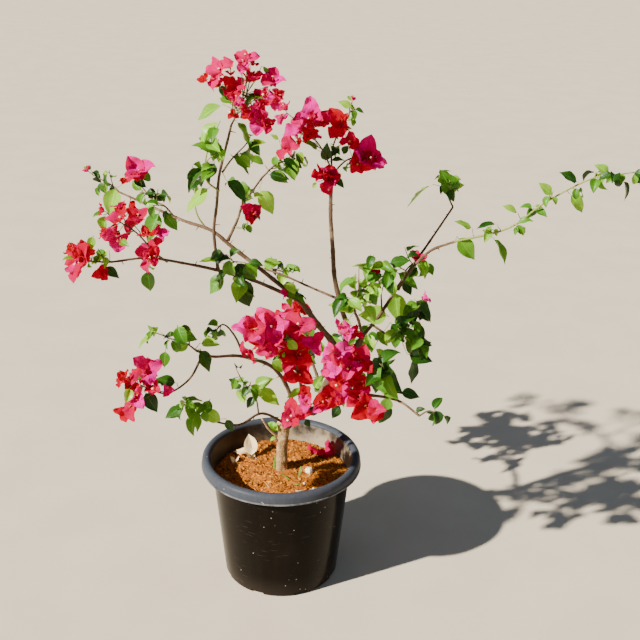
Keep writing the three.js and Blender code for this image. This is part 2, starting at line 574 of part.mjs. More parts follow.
// Everything that one mass grows, without what would leave its space, crowd it or touch a limb
function growMass(mass, stem, fits) {
  const draw = randomStream(mass.seed);
  const phase = 360 * draw();
  const each = (length, make) => Array.from({ length }, (_, k) => make(k));
  const shoots = each(mass.shoots, (i) => shootCentres(mass, stem, i, phase, draw));
  const leaves = each(mass.leaves, (k) => leafFrame(mass, k, stem, shoots, phase, draw));
  const blooms = each(mass.blooms, (k) => bloomForm(mass, k, shoots, draw));
  const shootFits = shoots.map((centres) =>
    fits([0.3, 0.5, 0.7, 0.85, 1].map((share) => seatOn(centres, share).at), CLEAR.shoot));
  shootFits.push(true);
  const bladeFits = (frame, shape) => fits(bladeSamples(frame, shape), CLEAR.blade);
  const keptBlooms = [];
  for (const bloom of blooms) {
    const { centre, long } = bloom;
    const apart = keptBlooms.every((other) => other.centre.distanceTo(centre) > CLEAR.bloom * long);
    const inside = bloom.bracts.every((bract) => bladeFits(bract, BRACT));
    if (apart && inside && shootFits[bloom.shoot]) keptBlooms.push(bloom);
  }
  const keptLeaves = [];
  for (const leaf of leaves) {
    const { middle, long } = leaf;
    const apart = keptLeaves.every((other) => other.middle.distanceTo(middle) > CLEAR.leafToLeaf * long);
    const clearOf = (bloom) => bloom.centre.distanceTo(middle) > CLEAR.leafToBloom * bloom.long;
    const free = keptBlooms.every(clearOf);
    if (apart && free && shootFits[leaf.shoot] && bladeFits(leaf, LEAF)) keptLeaves.push(leaf);
  }
  const used = new Set([...keptBlooms, ...keptLeaves].map(({ shoot }) => shoot));
  return { shoots: shoots.filter((_, i) => used.has(i)), leaves: keptLeaves, blooms: keptBlooms };
}

function massSolid({ shoots, leaves, blooms }, stem) {
  const twigs = shoots.map((centres) =>
    tube({ centres, radii: taper(SHOOT.foot, SHOOT.tip, centres.length), sides: STEM.sides }));
  const pieces = [tube(stem), ...twigs, ...leaves.map(leafSolid), ...blooms.map(bloomSolid)];
  return wasm.Manifold.union(pieces).asOriginal().simplify(FINEST);
}

const cutClear = (solid, cutters) =>
  wholeOf(cutters.reduce((left, cutter) => left.subtract(cutter), solid));

const plant = new THREE.Group();
plant.add(meshOf("pot", potSolid(), COLOURS.pot));
plant.add(meshOf("soil", soilSolid(), COLOURS.soil));

const trunk = trunkForm();
plant.add(meshOf("trunk", trunkSolid(trunk), COLOURS.bark));

const cutters = [clearanceTube(trunk)];
const limbSpans = spansOf(trunk.line, 4, TRUNK.radius, TRUNK.radius);
for (const [name, limb] of Object.entries(LIMBS)) {
  const form = limbForm(limb, LIMB);
  plant.add(meshOf(name, cutClear(tube(form), cutters), COLOURS.bark));
  cutters.push(clearanceTube(form));
  limbSpans.push(...spansOf(form.line, 4, limb.foot, limb.tip));
}

const stems = Object.entries(MASSES).map(([name, mass]) => {
  const form = limbForm({ foot: STEM.foot, tip: STEM.tip, ...mass }, STEM);
  return { name, mass, form, spans: spansOf(form.line, 3, 0, 0) };
});
for (const { name, mass, form, spans } of stems) {
  const others = stems.filter((stem) => stem.name !== name).flatMap((stem) => stem.spans);
  const fits = (points, margin) => inOwnSpace(points, margin, spans, others, limbSpans);
  const solid = massSolid(growMass(mass, form.centres, fits), form);
  const look = mass.blooms > mass.leaves ? COLOURS.blossom : COLOURS.leaves;
  plant.add(meshOf(name, cutClear(solid, cutters), look));
  cutters.push(clearanceTube(form));
}

export default plant;
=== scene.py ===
import math

import bpy
import numpy as np
from mathutils import Matrix, Vector, noise


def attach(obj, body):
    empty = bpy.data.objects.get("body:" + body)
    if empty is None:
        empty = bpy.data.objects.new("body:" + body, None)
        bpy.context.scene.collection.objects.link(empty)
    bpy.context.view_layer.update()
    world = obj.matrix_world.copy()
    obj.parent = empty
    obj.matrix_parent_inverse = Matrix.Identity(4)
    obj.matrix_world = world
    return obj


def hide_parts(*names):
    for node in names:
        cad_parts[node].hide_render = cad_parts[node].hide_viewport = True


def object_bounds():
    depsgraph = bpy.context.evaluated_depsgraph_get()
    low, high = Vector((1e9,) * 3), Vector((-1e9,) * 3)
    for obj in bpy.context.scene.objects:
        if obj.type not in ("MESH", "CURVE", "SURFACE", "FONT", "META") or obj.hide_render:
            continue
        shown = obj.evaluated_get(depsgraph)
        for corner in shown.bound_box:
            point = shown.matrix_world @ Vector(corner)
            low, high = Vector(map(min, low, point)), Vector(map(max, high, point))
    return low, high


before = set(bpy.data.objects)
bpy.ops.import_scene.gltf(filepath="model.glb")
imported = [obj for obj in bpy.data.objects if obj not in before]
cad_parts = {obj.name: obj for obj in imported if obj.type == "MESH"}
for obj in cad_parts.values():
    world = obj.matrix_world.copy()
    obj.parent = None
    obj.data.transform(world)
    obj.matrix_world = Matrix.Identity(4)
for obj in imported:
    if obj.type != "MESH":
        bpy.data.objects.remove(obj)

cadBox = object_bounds()
mm = 0.001
print("frame loaded")

# the camera that took the photograph, which is 640 pixels wide and high
camera = {"lens": 56.25, "sensor": 36, "place": (0.069, -1.651, 1.220), "pitch": 67.17, "roll": 0.96,
          "picture": 640}
light = {"middle": (0.05, 0, 0.5), "toSun": (-350, -203, 264), "sunAway": 3, "soft": 1.2, "power": 13.0,
         "warmth": (1, 0.94, 0.84), "fillAt": (-2.2, -1.2, 0.7), "fillTo": (0, 0, 0.2),
         "fillSize": (0.5, 1.6), "fillPower": 5, "zenith": (0.5, 0.68, 1.0),
         "horizon": (0.78, 0.72, 0.63), "zenithAt": 0.7, "skyStrength": 0.28}


def addObject(name, data):
    made = bpy.data.objects.new(name, data)
    bpy.context.scene.collection.objects.link(made)
    return made


lens = bpy.data.cameras.new("camera")
lens.lens, lens.sensor_width = camera["lens"], camera["sensor"]
viewer = addObject("camera", lens)
pitch = Matrix.Rotation(math.radians(camera["pitch"]), 4, "X")
roll = Matrix.Rotation(math.radians(camera["roll"]), 4, "Z")
viewer.matrix_world = Matrix.Translation(camera["place"]) @ pitch @ roll
bpy.context.scene.camera = viewer


def addLamp(name, kind, power, at, facing):
    data = bpy.data.lights.new(name, kind)
    data.energy, data.color = power, light["warmth"]
    lamp = addObject(name, data)
    lamp.location = at
    lamp.rotation_euler = (Vector(at) - Vector(facing)).to_track_quat("Z", "Y").to_euler()
    return data


sunAt = Vector(light["middle"]) + light["sunAway"] * Vector(light["toSun"]).normalized()
key = addLamp("key", "SUN", light["power"], sunAt, light["middle"])
key.angle = math.radians(light["soft"])
strip = addLamp("side_strip", "AREA", light["fillPower"], light["fillAt"], light["fillTo"])
strip.shape = "RECTANGLE"
strip.size, strip.size_y = light["fillSize"]

world = bpy.context.scene.world or bpy.data.worlds.new("world")
bpy.context.scene.world = world
world.use_nodes = True
sky = world.node_tree
upward = sky.nodes.new("ShaderNodeSeparateXYZ")
sky.links.new(sky.nodes.new("ShaderNodeTexCoord").outputs["Generated"], upward.inputs[0])
fade = sky.nodes.new("ShaderNodeValToRGB")
for stop, place, colour in zip(fade.color_ramp.elements, (0.0, light["zenithAt"]), ("horizon", "zenith")):
    stop.position, stop.color = place, (*light[colour], 1)
sky.links.new(upward.outputs["Z"], fade.inputs["Fac"])
background = sky.nodes["Background"]
sky.links.new(fade.outputs["Color"], background.inputs["Color"])
background.inputs["Strength"].default_value = light["skyStrength"]
print("camera and light placed")


# Shader maths as Python expressions: a Reading wraps a socket, and each operator adds its node
class Reading:
    def __init__(self, paint, socket):
        self.paint, self.socket = paint, socket

    def maths(self, operation, *values):
        return self.paint.node("ShaderNodeMath", {"operation": operation}, dict(enumerate(values)))

    def __add__(self, other):
        return self.maths("ADD", self, other)

    def __radd__(self, other):
        return self.maths("ADD", other, self)

    def __sub__(self, other):
        return self.maths("SUBTRACT", self, other)

    def __rsub__(self, other):
        return self.maths("SUBTRACT", other, self)

    def __mul__(self, other):
        return self.maths("MULTIPLY", self, other)

    def __rmul__(self, other):
        return self.maths("MULTIPLY", other, self)

    def __abs__(self):
        return self.maths("ABSOLUTE", self)


# One material: its nodes are added by one method that takes a type, settings and the values of sockets
class Paint:
    def __init__(self, name):
        self.material = bpy.data.materials.new(name)
        self.material.use_nodes = True
        self.nodes, self.links = self.material.node_tree.nodes, self.material.node_tree.links
        self.shader, self.out = self.nodes["Principled BSDF"], self.nodes["Material Output"]

    def node(self, kind, settings=None, values=None, output=0):
        made = self.nodes.new(kind)
        for key, value in (settings or {}).items():
            setattr(made, key, value)
        for key, value in (values or {}).items():
            self.feed(made.inputs[key], value)
        return Reading(self, made.outputs[output])

    def feed(self, socket, value):
        if isinstance(value, Reading):
            self.links.new(value.socket, socket)
        elif socket.type == "RGBA":
            socket.default_value = (*value, 1)
        else:
            socket.default_value = value

    def at(self):
        return self.node("ShaderNodeTexCoord", output="Object")

    def stretched(self, scale, turn=(0.0, 0.0, 0.0)):
        return self.node("ShaderNodeMapping", None, {"Vector": self.at(), "Scale": scale, "Rotation": turn})

    def spots(self, scale, detail=2.0, roughness=0.5, at=None):
        values = {"Vector": at or self.at(), "Scale": scale, "Detail": detail, "Roughness": roughness}
        return self.node("ShaderNodeTexNoise", None, values, "Fac")

    def cells(self, scale):
        return self.node("ShaderNodeTexVoronoi", None, {"Vector": self.at(), "Scale": scale}, "Distance")

    def band(self, value, low, high, least=0.0, most=1.0):
        ends = {"Value": value, "From Min": low, "From Max": high, "To Min": least, "To Max": most}
        return self.node("ShaderNodeMapRange", {"interpolation_type": "SMOOTHSTEP"}, ends)

    def ramp(self, value, stops):
        colour = self.node("ShaderNodeValToRGB", None, {"Fac": value}, "Color")
        shades = colour.socket.node.color_ramp.elements
        shades.remove(shades[1])
        for i, (place, shade) in enumerate(stops):
            stop = shades.new(place) if i else shades[0]
            stop.position, stop.color = place, (*shade, 1)
        return colour

    def mix(self, factor, first, second):
        return self.node("ShaderNodeMix", {"data_type": "RGBA"}, {0: factor, 6: first, 7: second}, 2)

    def tone(self):
        return self.node("ShaderNodeAttribute", {"attribute_name": "tone"}, None, "Fac")

    def parts(self, vector):
        first = self.node("ShaderNodeSeparateXYZ", None, {0: vector})
        return [Reading(self, socket) for socket in first.socket.node.outputs]

    def uv(self):
        return self.parts(self.node("ShaderNodeUVMap", {"uv_map": "UVMap"}))[:2]

    # a blade's way along and to the side, its midrib and its side veins
    def ribs(self, midrib, slope, count, thin):
        x, y = self.uv()
        side = abs(x - 0.5) * 2
        wave = {0: (y - side * slope) * count, 1: 0.5}
        wave = self.node("ShaderNodeMath", {"operation": "PINGPONG"}, wave)
        return y, side, 1 - self.band(side, *midrib), 1 - self.band(wave, 0.0, thin)

    # light that comes through a thin blade, as a share of its surface
    def glow(self, share, colour):
        through = self.node("ShaderNodeBsdfTranslucent", None, {"Color": colour})
        surface = Reading(self, self.shader.outputs[0])
        both = self.node("ShaderNodeMixShader", None, {0: share, 1: surface, 2: through})
        self.links.new(both.socket, self.out.inputs["Surface"])

    # colour, roughness and shine, then the relief: its height, its strength and how deep it goes (metres)
    def finish(self, colour, roughness, shine, height, strength, depth):
        values = {"Height": height, "Strength": strength, "Distance": depth}
        relief = self.node("ShaderNodeBump", None, values)
        looks = {"Base Color": colour, "Roughness": roughness, "Specular IOR Level": shine, "Normal": relief}
        for key, value in looks.items():
            self.feed(self.shader.inputs[key], value)
        return self.material


# Leaves: a pale midrib, side veins and darker blotches. Each spray takes one of three greens: its light and
# its deep colour, and the share of light that comes through
# lime: young leaves, and painted light on sunlit ones; dark: painted shade on leaves in shade
leafColours = {"lime": ((0.27, 0.52, 0.035), (0.14, 0.34, 0.015), 0.26),
               "mid": ((0.1, 0.26, 0.01), (0.04, 0.15, 0.005), 0.2),
               "dark": ((0.024, 0.09, 0.003), (0.007, 0.036, 0.001), 0.12)}
leafEdgeBrown = (0.22, 0.13, 0.04)


def leafPaint(name, pale, deep, through):
    paint = Paint("leaf_" + name)
    along, side, rib, veins = paint.ribs((0.02, 0.1), 0.16, 7.5, 0.09)
    veins = veins * (1 - paint.band(side, 0.55, 0.95))
    blotch = paint.spots(90, 3)
    body = paint.mix(paint.band(blotch * 0.6 + paint.tone() * 0.6, 0.3, 0.85), pale, deep)
    body = paint.mix(rib * 0.55 + veins * 0.22, body, tuple(min(1, c * 1.5 + 0.03) for c in pale))
    browned = paint.band(paint.spots(34, 2) + side * 0.12, 0.74, 0.84)
    body = paint.mix(browned * 0.7, body, leafEdgeBrown)
    height = rib * -0.6 + veins * -0.35 + paint.spots(420, 2) * 0.35
    paint.glow(through, paint.mix(0.6, body, tuple(min(1, c * 2.0) for c in pale)))
    return paint.finish(body, paint.band(blotch, 0.3, 0.7, 0.3, 0.45), 0.28, height, 0.35, 0.0008)


# Bracts: papery, pink where light falls on them and red where it comes through
# pink is a lighter copy for sunlit blossoms and scarlet a darker copy for shaded ones, painted light and
# shade
bractColours = {"pink": ((0.6, 0.0, 0.1), (0.78, 0.003, 0.37), 0.38),
                "crimson": ((0.46, 0.0, 0.025), (0.56, 0.0, 0.12), 0.45),
                "scarlet": ((0.4, 0.0, 0.006), (0.48, 0.0, 0.025), 0.5)}
bractGlow, bractFoot = (0.8, 0.0, 0.05), (0.5, 0.3, 0.1)


def bractPaint(name, deep, pale, through):
    paint = Paint("bract_" + name)
    along, side, rib, veins = paint.ribs((0.015, 0.07), 0.22, 6, 0.06)
    veins = veins * 0.7 + (1 - paint.band(paint.cells(190), 0.0, 0.35)) * 0.15
    body = paint.mix(paint.band(paint.spots(60, 3) * 0.7 + paint.tone() * 0.5, 0.3, 0.9), deep, pale)
    body = paint.mix(rib * 0.5 + veins * 0.4, body, tuple(c * 0.55 for c in deep))
    body = paint.mix(paint.band(along, 0.16, 0.0) * 0.3, body, bractFoot)
    height = rib * 0.5 + veins * 0.5 + paint.spots(160, 3) * 0.8
    paint.glow(through, paint.mix(0.75, body, bractGlow))
    return paint.finish(body, 0.6, 0.03, height, 0.5, 0.0012)


# Bark: tan-grey with pale patches, long furrows and rough flecks; greener where it is young
def barkPaint(name, pale, deep, patch, grain):
    paint = Paint(name)
    x, y = paint.uv()
    around = paint.node("ShaderNodeCombineXYZ", None, {"X": x * 5, "Y": y * 0.9, "Z": paint.tone()})
    furrow, mottle = paint.spots(7, 5, 0.6, around), paint.spots(42, 4)
    fleck = paint.band(paint.spots(320, 2), 0.58, 0.7)
    body = paint.mix(paint.band(furrow, 0.38, 0.62), deep, pale)
    body = paint.mix(paint.band(mottle, 0.5, 0.68) * 0.75, body, patch)
    body = paint.mix(fleck * 0.3, body, tuple(c * 0.5 for c in deep))
    height = furrow * 1.4 + mottle * 0.5 + paint.spots(500, 3) * 0.3
    return paint.finish(body, paint.band(mottle, 0.3, 0.7, 0.72, 0.92), 0.25, height, grain, 0.0014)


# Black plastic: a rim painted blue-grey as a reflection of the sky, a thin painted highlight on the lip below
# it, and dust, specks, scratches and scuffs
potLook = {"black": ((0.002, 0.0015, 0.001), (0.008, 0.0055, 0.0035)),
           "rim": ((0.027, 0.034, 0.045), (0.062, 0.07, 0.088)), "rimFrom": (0.226, 0.236),
           "worn": (0.17, 0.17, 0.17), "lipHighlightLow": (0.2295, 0.2305), "lipHighlightHigh": (0.2335, 0.232),
           "dust": (0.16, 0.125, 0.095), "speck": (0.42, 0.36, 0.3), "scuff": (0.16, 0.15, 0.14)}


def plasticPaint():
    paint = Paint("pot_plastic")
    z = paint.parts(paint.at())[2]
    smear = paint.spots(1, 4, 0.6, paint.stretched((30, 30, 2)))
    fine = paint.spots(1, 5, 0.7, paint.stretched((160, 160, 30)))
    dust = paint.band(paint.spots(14, 4, 0.65), 0.5, 0.75)
    speck = paint.band(paint.cells(95), 0.13, 0.06) * paint.band(paint.spots(24, 1), 0.58, 0.62)
    rim = paint.band(z, *potLook["rimFrom"])
    # a thin band on the lip's lower edge, lighter where it catches the sky: a painted highlight
    worn = paint.band(z, *potLook["lipHighlightLow"]) * paint.band(z, *potLook["lipHighlightHigh"])
    cover = dust * 0.02 + paint.band(z, 0.05, 0.0) * 0.08 + paint.band(fine, 0.6, 0.75) * 0.015 + rim * 0.02
    scratch = paint.band(paint.spots(1, 2, 0.5, paint.stretched((30, 30, 700), (0.35, 0.2, 0.0))), 0.7, 0.73)
    scuff = paint.band(paint.spots(1, 3, 0.6, paint.stretched((60, 60, 260), (-0.3, 0.4, 0.0))), 0.71, 0.75)
    scuff = scuff * paint.band(paint.spots(9, 2), 0.52, 0.6)
    # above rimFrom the plastic is painted blue-grey: a painted reflection of the sky
    body = paint.mix(rim, paint.mix(smear, *potLook["black"]), paint.mix(fine, *potLook["rim"]))
    marks = {"worn": worn * paint.band(smear, 0.3, 0.6), "dust": cover, "speck": speck * 0.8,
             "scuff": scratch * 0.2 + scuff * 0.35}
    for mark, share in marks.items():
        body = paint.mix(share, body, potLook[mark])
    rough = paint.band(smear * 0.9 + fine * 0.3, 0.35, 0.85, 0.12, 0.27)
    rough = rough + cover * 0.6 + rim * 0.2 + scuff * 0.2
    height = fine * 0.12 + paint.spots(28, 2) * 0.8 + scratch * -0.3
    return paint.finish(body, rough, 0.06, height, 0.1, 0.001)


# the pot's inner wall, dusted by dry soil; the dust thins towards the left, leaving that side near black
# as painted shade
def wallPaint():
    paint = Paint("pot_inside")
    x, y, z = paint.parts(paint.at())
    dust = paint.band(paint.spots(22, 5, 0.65) + paint.band(z, 0.24, 0.2) * 0.25, 0.35, 0.75)
    # the left side, in shade, keeps little dust: painted shade
    dust = dust * paint.band(x, -0.1, 0.02, 0.12, 1)
    grain = paint.spots(340, 3)
    body = paint.mix(dust, (0.014, 0.011, 0.009), (0.3, 0.235, 0.15))
    body = paint.mix(paint.band(grain, 0.6, 0.7) * dust * 0.5, body, (0.42, 0.33, 0.22))
    rough = paint.band(dust, 0, 1, 0.42, 0.85)
    return paint.finish(body, rough, 0.35, dust * 0.6 + grain * 0.4, 0.3, 0.001)


def soilPaint(name, *shades):
    paint = Paint(name)
    body = paint.ramp(paint.tone() * 0.7 + paint.spots(160, 4) * 0.45, shades)
    return paint.finish(body, 0.93, 0.2, paint.spots(420, 4) + paint.spots(90, 3), 0.6, 0.002)


def plainPaint(name, colour, other, scale, roughness, through=0.0, relief=0.3):
    paint = Paint(name)
    field = paint.mix(paint.band(paint.spots(scale, 4), 0.35, 0.65), colour, other)
    if through:
        paint.glow(through, field)
    return paint.finish(field, roughness, 0.35, paint.spots(scale * 4, 3), relief, 0.0008)


paints = {
    **{"leaf_" + name: leafPaint(name, *look) for name, look in leafColours.items()},
    **{"bract_" + name: bractPaint(name, *look) for name, look in bractColours.items()},
    "bark": barkPaint("bark", (0.6, 0.39, 0.17), (0.15, 0.07, 0.022), (0.74, 0.55, 0.3), 0.9),
    "bough": barkPaint("bough_bark", (0.16, 0.092, 0.048), (0.06, 0.032, 0.017), (0.26, 0.175, 0.105), 0.6),
    "twig": barkPaint("twig_bark", (0.14, 0.092, 0.042), (0.065, 0.038, 0.017), (0.19, 0.16, 0.07), 0.3),
    "young": barkPaint("young_shoot", (0.27, 0.33, 0.07), (0.16, 0.2, 0.04), (0.33, 0.33, 0.13), 0.25),
    "cut": plainPaint("cut_wood", (0.78, 0.58, 0.33), (0.55, 0.37, 0.2), 120, 0.8),
    "tube": plainPaint("flower_tube", (0.72, 0.13, 0.06), (0.62, 0.05, 0.05), 90, 0.55, 0.2),
    "star": plainPaint("flower_star", (0.86, 0.68, 0.36), (0.85, 0.5, 0.2), 90, 0.5, 0.2),
    "plastic": plasticPaint(),
    "wall": wallPaint(),
    "soil": soilPaint("potting_soil", (0.12, (0.04, 0.01, 0.001)), (0.35, (0.21, 0.056, 0.005)),
                      (0.62, (0.42, 0.135, 0.012)), (0.9, (0.6, 0.27, 0.045))),
    # near-black soil: painted shade for the bed's hidden sides and bottom, seen dark through the notches
    "soilShade": soilPaint("wet_soil", (0.2, (0.006, 0.004, 0.003)), (0.9, (0.02, 0.012, 0.008))),
    "dry": plainPaint("dry_leaf", (0.93, 0.76, 0.46), (0.78, 0.56, 0.28), 90, 0.8, 0.2),
    "pebble": plainPaint("pebble", (0.95, 0.88, 0.72), (0.8, 0.7, 0.52), 110, 0.8),
    "grass": plainPaint("grass", (0.2, 0.4, 0.05), (0.1, 0.26, 0.03), 60, 0.5, 0.3),
    "floor": plainPaint("floor", (0.62, 0.53, 0.4), (0.65, 0.56, 0.43), 6, 0.92, 0.0, 0.0),
}
print("materials made")


# The plant grows by the same seeded rule as its solids. Lengths are millimetres until a mesh is made.
trunkFoot = 213.3
trunk = {"foot": 10.5, "tip": 10.5, "route": [(0, 6, 207.3), (1, 6, 245), (3, 6, 285), (5, 6, 320)],
         "flare": 1.5, "flareLong": 6, "knob": 1.5, "knobAt": 305, "knobLong": 12}


# a limb: its radius at the foot and at the tip, then its route
def bough(foot, tip, *route):
    return locals()


limbs = {
    "main_stem": bough(8.5, 7, (5, 6, 305), (40, 15, 330), (65, 20, 335), (80, 30, 375), (110, 45, 420)),
    "upright_stem": bough(5, 3.2, (110, 45, 420), (120, 50, 485), (110, 55, 520), (95, 60, 580),
        (90, 65, 635), (85, 75, 700), (85, 80, 780)),
    "diagonal_bough": bough(6, 5, (110, 45, 420), (95, 30, 465), (65, 15, 510), (35, 0, 560)),
    "upper_left_bough": bough(4.2, 1.8, (35, 0, 560), (-30, 10, 610), (-90, 20, 655), (-125, 30, 680),
        (-180, 70, 685), (-240, 115, 695), (-310, 160, 710)),
    "lower_left_arm": bough(3.6, 1.6, (35, 0, 560), (-40, -25, 605), (-100, -55, 635), (-150, -105, 665),
        (-205, -150, 690), (-255, -185, 695)),
    "upright_left_stem": bough(2.8, 2, (-105, -60, 640), (-110, -60, 705), (-105, -55, 750),
        (-100, -50, 800), (-90, -45, 840), (-80, -40, 880)),
    "centre_arm": bough(2.6, 1.6, (-95, 20, 665), (-80, 40, 695), (-70, 60, 720), (-40, 110, 755)),
    "cross_twig": bough(2.4, 1.5, (100, 55, 545), (50, 85, 555), (-5, 110, 570), (-40, 125, 575)),
    "right_bough": bough(3.6, 2.4, (110, 45, 420), (145, 25, 470), (140, -5, 520), (130, -20, 550)),
    "high_right_bough": bough(3.8, 1.8, (110, 45, 415), (140, 60, 455), (180, 85, 500), (215, 110, 550),
        (270, 160, 615), (320, 200, 680)),
    "long_shoot": bough(3, 2.2, (215, 110, 545), (235, 80, 595), (265, 55, 640), (305, 35, 665)),
    "low_right_bough": bough(4, 1.8, (70, 25, 350), (125, -20, 385), (175, -80, 415), (210, -120, 425),
        (240, -150, 415)),
    "low_left_bough": bough(4.4, 2, (15, 5, 320), (20, -10, 360), (10, -25, 405), (-15, -50, 455),
        (-65, -95, 495), (-110, -130, 510), (-135, -150, 530)),
    "foot_twig": bough(2.6, 1.6, (5, 0, 315), (-35, -30, 350), (-75, -75, 350), (-125, -120, 385)),
    "back_bough": bough(4.6, 2.6, (65, 20, 340), (75, 80, 340), (65, 150, 340), (55, 215, 340)),
}


# a mass of foliage or blossom on one stem: what its solid grows from, the seed and the fullness of the
# finer growth and the stem's route; for some, the stem's radius, the size of the leaves and blossoms that
# the rule grows, the shares of the three greens and a blossom at the tip
# the shares of the greens follow how lit or shaded a mass is, so they carry painted light and shade
def bunch(seed, shoots, leaves, blooms, leaf, bract, bare, reach, fill, full, *route,
          foot=1.8, blade=1, greens=(0.3, 0.42, 0.28), tipBloom=0):
    return locals()


